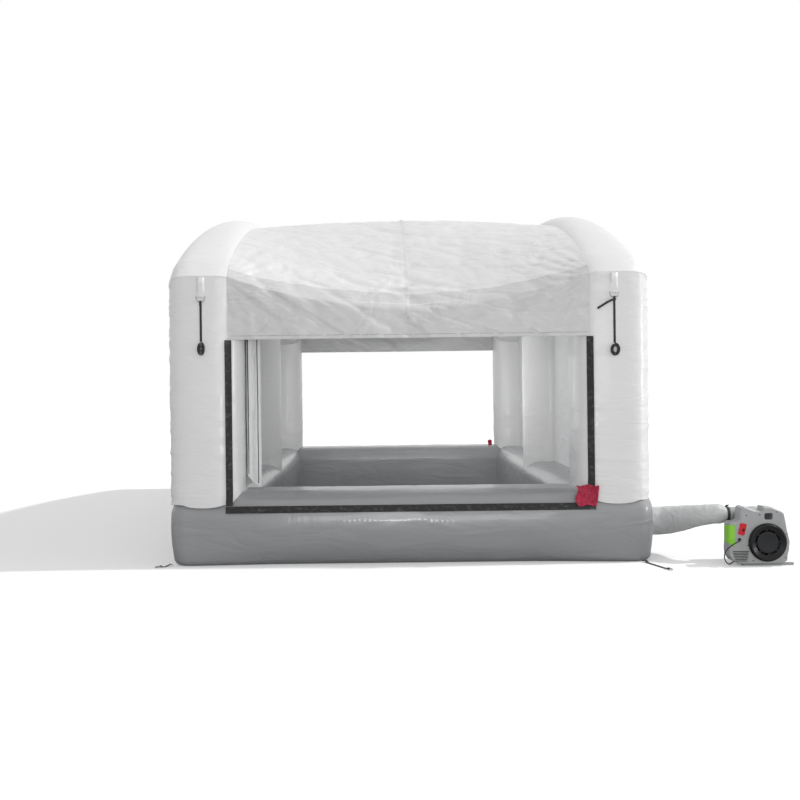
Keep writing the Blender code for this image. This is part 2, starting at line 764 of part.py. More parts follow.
def post_ring_set(side, x_ring, coil_z, coil_half, coil_tall, hole):
    """Sewn tab, D-ring, hanging strap and its coil on a front post."""
    x_axis = Vector((1, 0, 0))
    up = Vector((0, 0, 1))
    out = Vector((0, -1, 0))
    flat = POST_Y + POST_FRONT + GAP + WEB_THICK / 2
    wrap = RING_WIRE + 0.0004 + WEB_THICK / 2
    bar = Vector((x_ring, -(flat + wrap), 2.19))
    tab = [Vector((x_ring, -flat, bar.z + rise)) for rise in (0.155, 0.08, 0.03)]
    tab += loop_round(bar, out, up, wrap, 180.0, 390.0, 7)
    ribbon("ring_tab_" + side, tab, [x_axis] * len(tab), 0.062, WEB_THICK, PALE_TAB)

    half = 0.036
    drop = 0.041
    level = 0.013
    outline = [Vector((-half, 0, 0)), Vector((0, 0, 0)), Vector((half, 0, 0))]
    for i in range(1, 6):
        t = math.pi * i / 10
        outline.append(Vector((level + (half - level) * math.cos(t), 0, -drop * math.sin(t))))
    outline += [Vector((-p.x, 0, p.z)) for p in outline[:2:-1]]
    sweep("d_ring_" + side, [bar + p for p in outline], circle(RING_WIRE, 6), STEEL,
          (0, 1, 0), True, 60.0)

    low = bar - up * drop
    strap_top = loop_round(low, out, up, wrap, 180.0, 0.0, 6)
    coil_top = coil_z + coil_tall
    path = [Vector((x_ring, -flat, coil_top + 0.012)), Vector((x_ring, -flat, low.z - 0.15))]
    path += strap_top + [strap_top[-1] - up * 0.03]
    path.insert(0, Vector((x_ring, -flat, coil_top + GAP)))
    ribbon("tie_strap_" + side, path, [x_axis] * len(path), 0.018, WEB_THICK, WEBBING)

    turns = 4
    spiral = []
    outer = coil_half - 0.003
    inner = hole
    for i in range(turns * 24 + 1):
        t = 2 * math.pi * i / 24 + math.pi / 2
        r = inner + (outer - inner) * i / (turns * 24)
        stretch = (coil_tall - 0.003) / outer
        spiral.append((x_ring + r * math.cos(t), -(POST_Y + POST_FRONT + GAP + WEB_WIDTH / 2),
                       coil_z + r * stretch * math.sin(t)))
    thick = 0.84 * (outer - inner) / turns
    section = [(-thick / 2, -WEB_WIDTH / 2), (thick / 2, -WEB_WIDTH / 2),
               (thick / 2, WEB_WIDTH / 2), (-thick / 2, WEB_WIDTH / 2)]
    sweep("strap_coil_" + side, spiral, section, WEBBING, (0, 0, 1), False, 50.0)
    return bar, low, wrap


def strap_tail(low, wrap):
    """Stiff free end of the right strap, lying over the front of its loop."""
    y = low.y - wrap - WEB_THICK - GAP
    start = Vector((low.x + 0.008, y, low.z - 0.012))
    end = Vector((low.x - 0.14, y - 0.006, low.z - 0.092))
    way = (end - start).normalized()
    across = Vector((0, 1, 0)).cross(way)
    mid = start.lerp(end, 0.45) + Vector((0, -0.004, 0.006))
    return ribbon("strap_tail_right", [start, start.lerp(mid, 0.2), mid, end], [across] * 4,
                  0.018, WEB_THICK, WEBBING)


def anchor(name, x_side, y_side, from_side, facet, reach):
    """Ground strap sewn under a facet of the base's corner, its oval ring reach past the base."""
    turn = math.radians(45.0 * (facet - 0.5) / CORNER_STEPS)
    a, b = (math.cos(turn), math.sin(turn)) if from_side else (math.sin(turn), math.cos(turn))
    out = Vector((x_side * a, y_side * b, 0))
    across = Vector((-out.y, out.x, 0))
    up = Vector((0, 0, 1))
    square = Vector((x_side, y_side, 0)) * (1 - PLAN_CORNER)
    near = PLAN_CORNER * math.cos(math.radians(22.5 / CORNER_STEPS))
    share = square.dot(out) + near
    corner = Vector((x_side * POST_X, y_side * POST_Y, 0)) + across * (square.dot(across) * BASE_HALF)

    def low_curve(deg):
        t = math.radians(deg)
        u = BASE_HALF - FOOT_CORNER + FOOT_CORNER * math.cos(t)
        return Vector((u * share, FOOT_CORNER - FOOT_CORNER * math.sin(t)))

    p45 = low_curve(45.0)
    p67 = low_curve(67.5)
    way = (p45 - p67).normalized()
    lift = Vector((way.y, -way.x)) * (GAP + WEB_THICK / 2)
    wrap = RING_WIRE + 0.0004 + WEB_THICK / 2
    rim = BASE_HALF * share
    bar_z = wrap + WEB_THICK / 2 + GAP
    low = GAP + WEB_THICK / 2
    flat = [p67.lerp(p45, 0.3) + lift, p67.lerp(p45, 0.95) + lift, Vector((rim + 0.004, low + 0.006)),
            Vector((rim + 0.018, low))]
    path = [corner + out * p.x + up * p.y for p in flat]
    bar = corner + out * (rim + reach) + up * bar_z
    path += loop_round(bar, out, up, wrap, -90.0, 150.0, 8)
    ribbon("anchor_strap_" + name, path, [across] * len(path), ANCHOR_WIDTH, WEB_THICK, WEBBING)
    half = 0.024
    outline = [-half * across, 0 * across, half * across]
    for i in range(1, 12):
        t = math.pi * i / 12
        c = math.copysign(abs(math.cos(t)) ** 0.6, math.cos(t))
        deep = 0.05 * math.sin(t)
        outline.append(across * (half * c) + out * deep - up * ((bar_z - RING_WIRE - 0.0004) * math.sin(t)))
    return sweep("anchor_ring_" + name, [bar + p for p in outline], circle(RING_WIRE, 6), STEEL,
                 (0, 0, 1), True, 60.0), bar, across


def door_curtain():
    """Gathered door leaf hanging against the inner side of the front left post."""
    folds = CURTAIN_RUNS // 2
    columns = folds * 5
    rows = 6
    x0 = -(POST_X - POST_FRONT) + GAP + CURTAIN_SKIN / 2
    points = []
    for r in range(rows + 1):
        h = r / rows
        for c in range(columns + 1):
            s = c / columns
            low = CURTAIN_LOW + CURTAIN_RISE * (1 - s)
            z = low + (CURTAIN_TOP - low) * h
            wide = CURTAIN_RUN / 2 * (1.05 - 0.15 * h)
            sway = 0.006 * math.sin(3.0 * h + 7.0 * s) * min(1.0, 4 * s)
            y = -(POST_Y - 0.03) + wide * math.sin(2 * math.pi * folds * s + 0.4 * h) + sway
            x = x0 + CURTAIN_SPREAD * s + 0.5 * sway
            points.append((x, y, z))
    item = node("door_curtain", points, skin_faces(rows + 1, columns + 1), VEIL, 60.0)
    return thicken(item, CURTAIN_SKIN, 0.0, 60.0)


def air_sleeve(form):
    """Collar on the base, tapering sleeve to the blower, and the strap that clamps it."""
    start = Vector((POST_X + BASE_HALF + 0.012, SLEEVE_Y, SLEEVE_Z))
    line = [start + Vector((-0.09, 0, 0)), start + Vector((0.024, 0, 0))]
    sides = 20
    collar = []
    for radius in (0.1175, 0.1135):
        collar.append([disc_ring(p, (0, 0, 1), (0, -1, 0), radius, sides) for p in line])
    item = loft("inlet_collar", collar[0] + collar[1][::-1], SLEEVE, False, 40.0, wrap=True)
    cut(item, form, 40.0, keep=True)

    mouth = (OUTLET_R + GAP) / math.cos(math.pi / sides)
    a = start + Vector((0.062, 0, 0))
    d = Vector((OUTLET_X - 0.06, OUTLET_Y, OUTLET_Z))
    b = a + Vector((0.24, 0, 0))
    c = d - Vector((0.24, 0, 0))
    path = [start, start + Vector((0.028, 0, 0))]
    bores = [0.118, 0.118]
    steps = 8
    for i in range(steps + 1):
        t = i / steps
        path.append(a * (1 - t) ** 3 + b * 3 * t * (1 - t) ** 2 + c * 3 * t * t * (1 - t) + d * t ** 3)
        swell = 0.007 * math.sin(math.pi * min(1.0, 1.6 * t))
        bores.append(0.118 - 0.046 * t + swell)
    path += [d + Vector((0.018, 0, 0)), d + Vector((0.052, 0, 0))]
    bores += [mouth, mouth]
    spans = list(zip(path, frames(path, (0, 0, 1)), bores))
    walls = []
    for extra in (0.0012, 0.0):
        walls.append([disc_ring(p, u, v, r + extra, sides) for p, (u, v), r in spans])
    loft("air_duct", walls[0] + walls[1][::-1], SLEEVE, False, 50.0, wrap=True)

    centre = d + Vector((0.035, 0, 0))
    u, v = spans[-1][1]
    radius = mouth + 0.0012 + 0.0014
    turns = [k * 2 * math.pi / sides for k in range(sides)]
    band = [centre + (u * math.cos(t) + v * math.sin(t)) * radius for t in turns[1:]]
    along = (band[-1] - band[-2]).normalized()
    band += [band[-1] + along * 0.022, band[-1] + along * 0.04 + Vector((0.004, -0.004, 0))]
    ribbon("duct_clamp", band, [(1, 0, 0)] * len(band), 0.024, 0.002, WEBBING)


def build_soft(form):
    for end, y_side, top in (("front", -1, FRONT_HEM_Z - 0.004), ("back", 1, BACK_HEM_Z - 0.004)):
        jamb_strip(end + "_hook_strip_left", -1, y_side, top)
        jamb_strip(end + "_hook_strip_right", 1, y_side, top)
        sill_strip(end + "_hook_strip_sill", y_side)
    pull_tag()
    z = BASE_H + GAP + 0.00075
    y = POST_Y - 0.095
    small = [(1.297, y, z), (1.297, y + 0.027, z), (1.299, y + 0.041, z + 0.019),
             (1.294, y + 0.031, z + 0.066)]
    ribbon("pull_tag_back_right", small, [(1, 0, 0), (1, 0, 0), (1, 0.1, 0), (1, 0.3, 0)],
           0.05, 0.0015, RED_TAG)
    pivots = {}
    pivots["left"] = post_ring_set("left", -1.68, 1.768, 0.0335, 0.060, 0.0055)
    pivots["right"] = post_ring_set("right", 1.662, 1.725, 0.0405, 0.0545, 0.017)
    strap_tail(pivots["right"][1], pivots["right"][2])
    for name, x_side, y_side, from_side, facet, reach in (
            ("front_left", -1, -1, True, 3, 0.055), ("front_right", 1, -1, False, 2, 0.30),
            ("back_left", -1, 1, False, 3, 0.18), ("back_right", 1, 1, False, 3, 0.18)):
        pivots[name] = anchor(name, x_side, y_side, from_side, facet, reach)
    door_curtain()
    air_sleeve(form)
    return pivots


def housing_outline(rear):
    """Blower outline in (x, z), as shares of the housing's width and height from the fan's centre;
    the rear shell is narrower on the outlet's side."""
    top = [(-0.067, 0.524), (-0.057, 0.600), (0.095, 0.583), (0.223, 0.528), (0.283, 0.481),
           (0.308, 0.359), (0.332, 0.209), (0.375, 0.013), (0.364, -0.124), (0.342, -0.216),
           (0.332, -0.314), (0.243, -0.365)]
    if rear:
        top = [(-0.067, 0.519), (-0.020, 0.526), (0.115, 0.519), (0.205, 0.480), (0.258, 0.435),
               (0.300, 0.330)] + top[6:]
        left = [(-0.202, -0.370), (-0.277, -0.357), (-0.336, -0.303), (-0.368, -0.218),
                (-0.379, -0.100), (-0.379, 0.028), (-0.372, 0.241), (-0.352, 0.380),
                (-0.310, 0.470), (-0.250, 0.505), (-0.182, 0.519)]
    else:
        left = [(-0.360, -0.370), (-0.468, -0.357), (-0.567, -0.303), (-0.617, -0.218),
                (-0.625, -0.100), (-0.617, 0.006), (-0.613, 0.295), (-0.593, 0.338),
                (-0.488, 0.348), (-0.443, 0.380), (-0.419, 0.588), (-0.370, 0.605),
                (-0.182, 0.532)]
    return [(FAN_X + HOUSING_W * a, FAN_Z + HOUSING_H * b) for a, b in top + left]


def inset(outline, depth):
    """Move a clockwise outline inward."""
    found = []
    count = len(outline)
    for i, (x, z) in enumerate(outline):
        ax, az = outline[i - 1]
        bx, bz = outline[(i + 1) % count]
        before = Vector((x - ax, z - az)).normalized()
        after = Vector((bx - x, bz - z)).normalized()
        n0 = Vector((before.y, -before.x))
        n1 = Vector((after.y, -after.x))
        way = (n0 + n1).normalized()
        found.append(Vector((x, z)) + way * (depth / max(0.5, way.dot(n0))))
    return found


def shell_body(name, rear, stations):
    outline = housing_outline(rear)
    rings = [[Vector((p[0], y, p[1])) for p in inset(outline, depth)] for y, depth in stations]
    return loft(name, rings, HOUSING, True, 40.0)


def pocket_form(rear, stations):
    """Inside of a half shell, leaving a wall round the handle slot."""
    form = shell_body("pocket", rear, stations)
    return cut(form, slot_form(FACE_Y - 0.1, REAR_Y + 0.1, SHELL_WALL), 40.0)


def round_form(y0, y1, radius, sides=32):
    middle = (FAN_X, 0, FAN_Z)
    rings = [disc_ring(Vector(middle) + Vector((0, y, 0)), (1, 0, 0), (0, 0, 1), radius, sides)
             for y in (y0, y1)]
    return loft("form", rings, HOUSING)


def slot_form(y0, y1, grow=0.0):
    """Rounded slot below the carry handle."""
    x0, x1 = FAN_X - 0.021 - grow, FAN_X + 0.045 + grow
    z0, z1 = FAN_Z + 0.178 - grow, FAN_Z + 0.230 + grow
    r = 0.012 + grow
    ring = []
    for cx, cz, first in ((x1 - r, z1 - r, 0), (x0 + r, z1 - r, 90), (x0 + r, z0 + r, 180),
                          (x1 - r, z0 + r, 270)):
        for k in range(3):
            t = math.radians(first + 45 * k)
            ring.append((cx + r * math.cos(t), cz + r * math.sin(t)))
    return loft("form", [[(x, y, z) for x, z in ring] for y in (y0, y1)], HOUSING)


def blower_shells():
    """Two moulded halves, meeting at the split, with chamber, inlet, outlet and runner feet."""
    front = shell_body("blower_inlet_shell", False, [
        (FACE_Y, 0.010), (FACE_Y + 0.006, 0.003), (FACE_Y + 0.014, 0.0), (SPLIT_Y - GAP, 0.0)])
    join(front, box("form", (FAN_X - 0.38 * HOUSING_W, FACE_Y + 0.028, 0.0),
                    (FAN_X + 0.45 * HOUSING_W, FACE_Y + 0.058, 0.022), HOUSING), 40.0)
    cut(front, pocket_form(False, [(FACE_Y + 0.006, 0.016), (FACE_Y + 0.013, 0.007),
                                   (FACE_Y + 0.02, SHELL_WALL), (SPLIT_Y + 0.05, SHELL_WALL)]), 40.0)
    cut(front, round_form(FACE_Y - 0.05, FACE_Y + 0.05, INLET_R), 40.0)
    cut(front, slot_form(FACE_Y - 0.05, SPLIT_Y + 0.05), 40.0)

    rear = shell_body("blower_motor_shell", True, [
        (SPLIT_Y, 0.0), (REAR_Y - 0.03, 0.0), (REAR_Y - 0.012, 0.006), (REAR_Y, 0.020)])
    join(rear, box("form", (FAN_X - 0.24 * HOUSING_W, REAR_Y - 0.065, 0.0),
                   (FAN_X + 0.45 * HOUSING_W, REAR_Y - 0.035, 0.022), HOUSING), 40.0)
    axis = Vector((0, OUTLET_Y, OUTLET_Z))
    up = (0, 0, 1)
    side = (0, -1, 0)
    pipe = [disc_ring(axis + Vector((x, 0, 0)), up, side, OUTLET_R, 20)
            for x in (OUTLET_X - 0.052, OUTLET_X + 0.09)]
    join(rear, loft("form", pipe, HOUSING), 40.0)
    cut(rear, pocket_form(True, [(SPLIT_Y - 0.05, SHELL_WALL), (REAR_Y - 0.03, SHELL_WALL),
                                 (REAR_Y - 0.015, 0.010), (REAR_Y - SHELL_WALL, 0.021)]), 40.0)
    bore = [disc_ring(axis + Vector((x, 0, 0)), up, side, OUTLET_R - 0.005, 20)
            for x in (OUTLET_X - 0.1, OUTLET_X + 0.12)]
    cut(rear, loft("form", bore, HOUSING), 40.0)
    cut(rear, slot_form(SPLIT_Y - 0.05, REAR_Y + 0.05), 40.0)


def windowed_disc(name, radii, fronts, back, segments, filled, finish):
    """A round plate built in bands; cells not filled are open windows."""
    points = []
    faces = []
    top = {}
    bottom = {}

    def at(store, i, j, y):
        key = (i % segments, j) if radii[j] > 0 else (0, j)
        if key not in store:
            t = 2 * math.pi * key[0] / segments
            store[key] = len(points)
            points.append((FAN_X + radii[j] * math.cos(t), y, FAN_Z + radii[j] * math.sin(t)))
        return store[key]

    def add(corners):
        kept = list(dict.fromkeys(corners))
        if len(kept) > 2:
            faces.append(tuple(kept))

    bands = len(radii) - 1
    for i in range(segments):
        for j in range(bands):
            if not filled(i, j):
                continue
            f = [at(top, i, j, fronts[j]), at(top, i + 1, j, fronts[j]),
                 at(top, i + 1, j + 1, fronts[j + 1]), at(top, i, j + 1, fronts[j + 1])]
            b = [at(bottom, i, j, back), at(bottom, i + 1, j, back),
                 at(bottom, i + 1, j + 1, back), at(bottom, i, j + 1, back)]
            add(f)
            add(b[::-1])
            if j + 1 == bands or not filled(i, j + 1):
                add([f[3], f[2], b[2], b[3]])
            if j > 0 and not filled(i, j - 1):
                add([f[1], f[0], b[0], b[1]])
            if not filled((i + 1) % segments, j):
                add([f[2], f[1], b[1], b[2]])
            if not filled((i - 1) % segments, j):
                add([f[0], f[3], b[3], b[0]])
    return node(name, points, faces, finish, 40.0)


def inlet_grille():
    """Black inlet ring with its centre disc on eight short spokes."""
    radii = [0.0, 0.086, INLET_R, 0.131, GUARD_R]
    y = FACE_Y
    fronts = [y - 0.013, y - 0.012, y - 0.014, y - 0.031, y - 0.012]
    return windowed_disc("inlet_grille", radii, fronts, y - GAP, 40,
                         lambda i, j: j != 1 or i % 5 == 0, BLACK)


def impeller():
    """Twelve-bladed wheel on a back plate."""
    blades = 12
    star = []
    plate = []
    for k in range(blades):
        a = 2 * math.pi * k / blades
        for r, half in ((0.03, 0.0022), (IMPELLER_R, 0.0016)):
            w = math.asin(half / r)
            star.append((r, a - w) if r < 0.05 else (r, a - w + 0.12))
        for r, half in ((IMPELLER_R, 0.0016), (0.03, 0.0022)):
            w = math.asin(half / r)
            star.append((r, a + w + 0.12) if r > 0.05 else (r, a + w))
    for r, a in star:
        plate.append((IMPELLER_R + 0.002, a))

    def ring(shape, y):
        return [Vector((FAN_X + r * math.cos(a), y, FAN_Z + r * math.sin(a))) for r, a in shape]
    rings = [ring(shape, FACE_Y + y) for shape, y in
             ((star, 0.020), (star, 0.085), (plate, 0.085), (plate, 0.092))]
    item = loft("impeller", rings, BLACK, True, 40.0)
    return item


def drive():
    centre = (FAN_X, 0, FAN_Z)
    low = FACE_Y + 0.092 + GAP
    front = FACE_Y + 0.115
    seat = REAR_Y - SHELL_WALL - GAP
    spun("motor", [(SHAFT_R + 0.0004, front), (0.042, front), (0.05, front + 0.007), (0.05, seat),
                   (SHAFT_R + 0.0004, seat)], centre, 24, MOTOR, 40.0)
    rod("motor_shaft", (FAN_X, low, FAN_Z), (FAN_X, seat - 0.004, FAN_Z), SHAFT_R, 16, STEEL)


def switch_group():
    """Red plate, its black rocker and the cable gland on the housing's face."""
    centre = Vector((FAN_X - 0.1965, FACE_Y - GAP, FAN_Z + 0.105))
    lean = math.radians(14.0)
    a = Vector((math.sin(lean), 0, math.cos(lean)))
    w = Vector((math.cos(lean), 0, -math.sin(lean)))
    n = Vector((0, -1, 0))
    thick = 0.005
    rounded = []
    hw, ha, r = 0.0255, 0.046, 0.008
    for cw, ca, first in ((hw - r, ha - r, 0), (r - hw, ha - r, 90), (r - hw, r - ha, 180),
                          (hw - r, r - ha, 270)):
        for k in range(4):
            t = math.radians(first + 30 * k)
            rounded.append(w * (cw + r * math.cos(t)) + a * (ca + r * math.sin(t)))
    plate = loft("switch_plate", [[centre + p for p in rounded],
                                  [centre + p + n * thick for p in rounded]], SWITCH_RED, True, 40.0)
    spot = centre + w * 0.010 - a * 0.004
    half_w, half_a = 0.0074, 0.0115
    window = [spot + w * (half_w * i) + a * (half_a * j) for i, j in ((1, 1), (-1, 1), (-1, -1), (1, -1))]
    cut(plate, loft("form", [[p - n * 0.01 for p in window], [p + n * 0.02 for p in window]], HOUSING), 40.0)
    pivot = spot + n * 0.0045
    tilt = math.radians(8.0)
    section = [(-0.0105, -0.0021), (0.0105, -0.0021), (0.0105, 0.0043), (0.0, 0.0021), (-0.0105, 0.0043)]
    turned = [(p * math.cos(tilt) - q * math.sin(tilt), p * math.sin(tilt) + q * math.cos(tilt))
              for p, q in section]
    rings = [[pivot + w * side + a * p + n * q for p, q in turned] for side in (-0.0068, 0.0068)]
    loft("rocker", rings, BLACK, True, 40.0)

    spot = (GLAND_X, 0, GLAND_Z)
    profile = [(0.0, FACE_Y - GAP), (0.0125, FACE_Y - GAP), (0.0125, FACE_Y - 0.007),
               (0.0095, FACE_Y - 0.009), (0.0075, FACE_Y - 0.024), (0.0, FACE_Y - 0.024)]
    rings = [disc_ring((spot[0], y, spot[2]), (1, 0, 0), (0, 0, 1), max(r, 1e-4), 14)
             for r, y in profile[1:-1]]
    loft("cable_gland", rings, BLACK, True, 40.0)
    return pivot, w


def mains_cord():
    """Loop from the gland under the housing, the rest of the cord coiled behind it, and the plug."""
    lie = CORD_R + GAP
    outer = COIL_INNER + COIL_PITCH * LAYER_TURNS
    meet = Vector((COIL_X - 0.012, COIL_Y - outer, lie))
    marks = [(0.0, -0.034, 0.212), (-0.017, -0.046, 0.205), (-0.058, -0.042, 0.183),
             (-0.101, -0.024, 0.143), (-0.118, -0.004, 0.098), (-0.110, 0.014, 0.052),
             (-0.081, 0.040, 0.018), (-0.045, 0.085, lie), (-0.008, 0.145, lie),
             (0.039, 0.21, lie), (0.075, 0.28, lie), (0.099, 0.335, lie), (0.127, 0.375, lie)]
    route = [(GLAND_X + dx, FACE_Y + dy, z) for dx, dy, z in marks]
    route += [(meet.x - 0.048, meet.y, lie), (meet.x - 0.010, meet.y, lie)]
    path = [Vector((GLAND_X, FACE_Y - 0.0243, GLAND_Z))]
    path += spaced(smooth_path(route, 8), 0.0165) + [meet - Vector((GAP, 0, 0))]
    path = [Vector((p.x, p.y, max(p.z, lie))) for p in path]
    cord_tube("power_cord", path, CORD_R, CORD, 2)

    steps = int(LAYER_TURNS * 24)
    climb = 7
    extra = 6
    coil = [meet.copy()]
    for i in range(steps + 1):
        coil.append((outer - (outer - COIL_INNER) * i / steps, i, 0.0))
    low = COIL_INNER - COIL_PITCH * climb / 24
    for i in range(1, steps + extra + 1):
        if i <= climb:
            r = COIL_INNER - COIL_PITCH * i / 24
        elif i < 24:
            r = low + (COIL_INNER + COIL_PITCH - low) * (i - climb) / (24 - climb)
        else:
            r = COIL_INNER + COIL_PITCH * i / 24
        rise = min(1.0, i / climb)
        coil.append((r, steps + i, rise * rise * (3 - 2 * rise)))
    for k, (r, i, rise) in enumerate(coil[1:], 1):
        turn = 2 * math.pi * i / 24 - math.pi / 2
        coil[k] = Vector((COIL_X + r * math.cos(turn), COIL_Y + r * math.sin(turn),
                          lie + COIL_PITCH * rise))
    coil.append(coil[-1] + Vector((0, 0.010, 0)))
    cord_tube("cord_coil", coil, CORD_R, CORD, 1)
    report_gap(coil, CORD_R)

    tail = coil[-1] + Vector((0, GAP, 0))
    shape = [(0.0, 0.0055), (0.028, 0.0085), (0.034, 0.0138), (0.066, 0.0138), (0.07, 0.012)]
    rings = [disc_ring(tail + Vector((0, y, 0)), (1, 0, 0), (0, 0, 1), r, 16) for y, r in shape]
    plug = loft("plug", rings, BLACK, True, 40.0)
    for dx in (-0.0095, 0.0095):
        foot = tail + Vector((dx, 0.068, 0))
        join(plug, rod("form", foot, foot + Vector((0, 0.021, 0)), 0.0024, 8, BLACK), 40.0)


def report_gap(path, radius):
    """Print the least gap between turns that are not neighbours along the cord."""
    least = 1.0
    near = int(math.ceil(6 * radius / (path[2] - path[1]).length)) + 2
    for i, p in enumerate(path):
        for q in path[i + near:]:
            least = min(least, (p - q).length)
    print("least gap between turns, mm:", round((least - 2 * radius) * 1000, 3))


def pivot_at(name, point):
    """Put a moving piece's origin on its joint axis."""
    item = bpy.data.objects[name]
    point = Vector(point)
    item.data.transform(Matrix.Translation(-point))
    item.location = point


def build_blower():
    blower_shells()
    inlet_grille()
    impeller()
    drive()
    rocker_pivot, _ = switch_group()
    mains_cord()
    return rocker_pivot


def build():
    form = build_booth()
    pivots = build_soft(form)
    bpy.data.objects.remove(form)
    hole = [disc_ring((x, SLEEVE_Y, SLEEVE_Z), (0, 0, 1), (0, -1, 0), 0.112, 24) for x in (1.9, 2.1)]
    cut(bpy.data.objects["base_right"], loft("form", hole, GREY), 40.0)
    rocker_pivot = build_blower()
    pivot_at("impeller", (FAN_X, FACE_Y + 0.09, FAN_Z))
    pivot_at("motor_shaft", (FAN_X, FACE_Y + 0.2, FAN_Z))
    pivot_at("rocker", rocker_pivot)
    for side in ("left", "right"):
        bar, low, _ = pivots[side]
        pivot_at("d_ring_" + side, bar)
        pivot_at("tie_strap_" + side, low)
        pivot_at("strap_coil_" + side, low)
    pivot_at("strap_tail_right", pivots["right"][1])
    for name in ("front_left", "front_right", "back_left", "back_right"):
        pivot_at("anchor_ring_" + name, pivots[name][1])


build()
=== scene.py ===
"""Inflatable paint booth with its blower, dressed for the photograph's view."""
from math import atan2, copysign, cos, exp, hypot, pi, radians, sin, sqrt, tan, tanh

import bmesh
import bpy
import numpy as np
from mathutils import Matrix, Vector, noise


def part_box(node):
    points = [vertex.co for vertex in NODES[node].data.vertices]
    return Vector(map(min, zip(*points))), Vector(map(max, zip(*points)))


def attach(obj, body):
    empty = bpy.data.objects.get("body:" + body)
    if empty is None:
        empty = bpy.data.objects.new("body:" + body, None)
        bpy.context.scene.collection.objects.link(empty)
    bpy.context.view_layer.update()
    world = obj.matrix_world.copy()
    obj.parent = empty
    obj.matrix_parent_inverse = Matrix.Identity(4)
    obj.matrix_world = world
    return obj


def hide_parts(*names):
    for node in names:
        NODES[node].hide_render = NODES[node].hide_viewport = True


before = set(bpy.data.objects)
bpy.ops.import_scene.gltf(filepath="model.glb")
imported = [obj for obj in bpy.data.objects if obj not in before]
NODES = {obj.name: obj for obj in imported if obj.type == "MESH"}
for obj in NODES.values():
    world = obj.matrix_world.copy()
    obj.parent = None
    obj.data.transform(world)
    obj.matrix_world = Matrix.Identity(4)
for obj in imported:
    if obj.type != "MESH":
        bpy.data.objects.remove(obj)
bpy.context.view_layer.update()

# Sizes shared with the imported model, metres
POST_X = 1.68
POST_Y = 2.805
TUBE_R = 0.313
SOFT_R = 0.3124
BASE_HALF = 0.32
BASE_H = 0.6
BASE_CORNER = 0.17
FOOT_CORNER = 0.045
PLAN_CORNER = 0.45
POST_FLAT = 0.13
ELBOW_Z = 2.233
ARCH_CROWN = 2.938
SEAM_RISE = 0.127
FRONT_HEM_Z = 1.84
BACK_HEM_Z = 1.95
CROWN_RISE = 0.0855
SLOPE = 2.0 * atan2(ARCH_CROWN - ELBOW_Z, POST_Y)
ARC_R = POST_Y / sin(SLOPE)
ARC_Z = ARCH_CROWN - ARC_R
CREASE = (pi / 2.0 - SLOPE) / 2.0
SEAM = atan2(SEAM_RISE, TUBE_R)
JOIN_A = 0.2131
FACE_Y = -POST_Y - 0.52
REAR_Y = FACE_Y + 0.34
FAN_X = 2.793
FAN_Z = 0.187
GAP = 0.0003
CORD_R = 0.0045
CORNERS = ("front_left", "front_right", "back_left", "back_right")

# Looks shared by several pieces
SHEET_LIFT = 0.0012
DRAWN_IN = 0.016
CURTAIN_TOP = 2.13
CURTAIN_FOOT = 0.621


# Finishes

def feed(tree, item, **values):
    """Link or set a node's inputs, or its settings; _ stands for a space in a name."""
    for key, value in values.items():
        socket = item.inputs.get(key.replace("_", " "))
        if socket is None:
            setattr(item, key, value)
        elif isinstance(value, bpy.types.NodeSocket):
            tree.links.new(value, socket)
        elif value is not None:
            socket.default_value = value
    return item


def put(tree, kind, **values):
    return feed(tree, tree.nodes.new(kind), **values)


def maths(tree, operation, *values):
    item = put(tree, "ShaderNodeMath", operation=operation)
    for socket, value in zip(item.inputs, values):
        if isinstance(value, float):
            socket.default_value = value
        else:
            tree.links.new(value, socket)
    return item.outputs[0]


def tree_of(name, colour, rough, metal=0.0):
    made = bpy.data.materials.new(name)
    made.use_nodes = True
    tree = made.node_tree
    shader = feed(tree, tree.nodes["Principled BSDF"], Base_Color=(*colour, 1.0),
                  Roughness=rough, Metallic=metal)
    return made, tree, shader


def place_of(tree, scale=(1, 1, 1), turn=(0, 0, 0)):
    place = put(tree, "ShaderNodeTexCoord").outputs["Object"]
    return put(tree, "ShaderNodeMapping", Vector=place, Scale=scale,
               Rotation=turn).outputs["Vector"]


def speckle(tree, scale, detail, stretch=(1, 1, 1)):
    return put(tree, "ShaderNodeTexNoise", Scale=scale, Detail=detail, Roughness=0.55,
               Vector=place_of(tree, stretch)).outputs["Fac"]


def ramp(tree, source, low, high, start=0.3, stop=0.7):
    item = put(tree, "ShaderNodeValToRGB", Fac=source)
    for element, place, colour in zip(item.color_ramp.elements, (start, stop), (low, high)):
        element.position = place
        element.color = (*colour, 1.0)
    return item.outputs["Color"]


def bump(tree, source, strength, distance, under=None):
    return put(tree, "ShaderNodeBump", Height=source, Strength=strength, Distance=distance,
               Normal=under).outputs["Normal"]


def weave_of(tree, pitch, tilt=0.0):
    """Crossed threads from two banded waves, over and under."""
    return maths(tree, "MAXIMUM", *(
        put(tree, "ShaderNodeTexWave", bands_direction=axis, Scale=0.5 / pitch, Distortion=0.0,
            Vector=place_of(tree, turn=(0.35, 0.6 + tilt, 0.5))).outputs["Fac"]
        for axis in "XZ"))


def folds_of(tree, scale, stretch=(1, 1, 1), turn=(0, 0, 0)):
    """Sharp creases: the fold lines of a smooth noise."""
    item = put(tree, "ShaderNodeTexNoise", Scale=scale, Detail=3.0, Roughness=0.5,
               Distortion=0.7, Vector=place_of(tree, stretch, turn))
    return maths(tree, "ABSOLUTE", maths(tree, "SUBTRACT", item.outputs["Fac"], 0.5))


def around(colour, vary):
    """A colour's darker and lighter neighbours."""
    return (tuple(max(0.0, c * (1 - vary)) for c in colour),
            tuple(min(1.0, c * (1 + vary)) for c in colour))


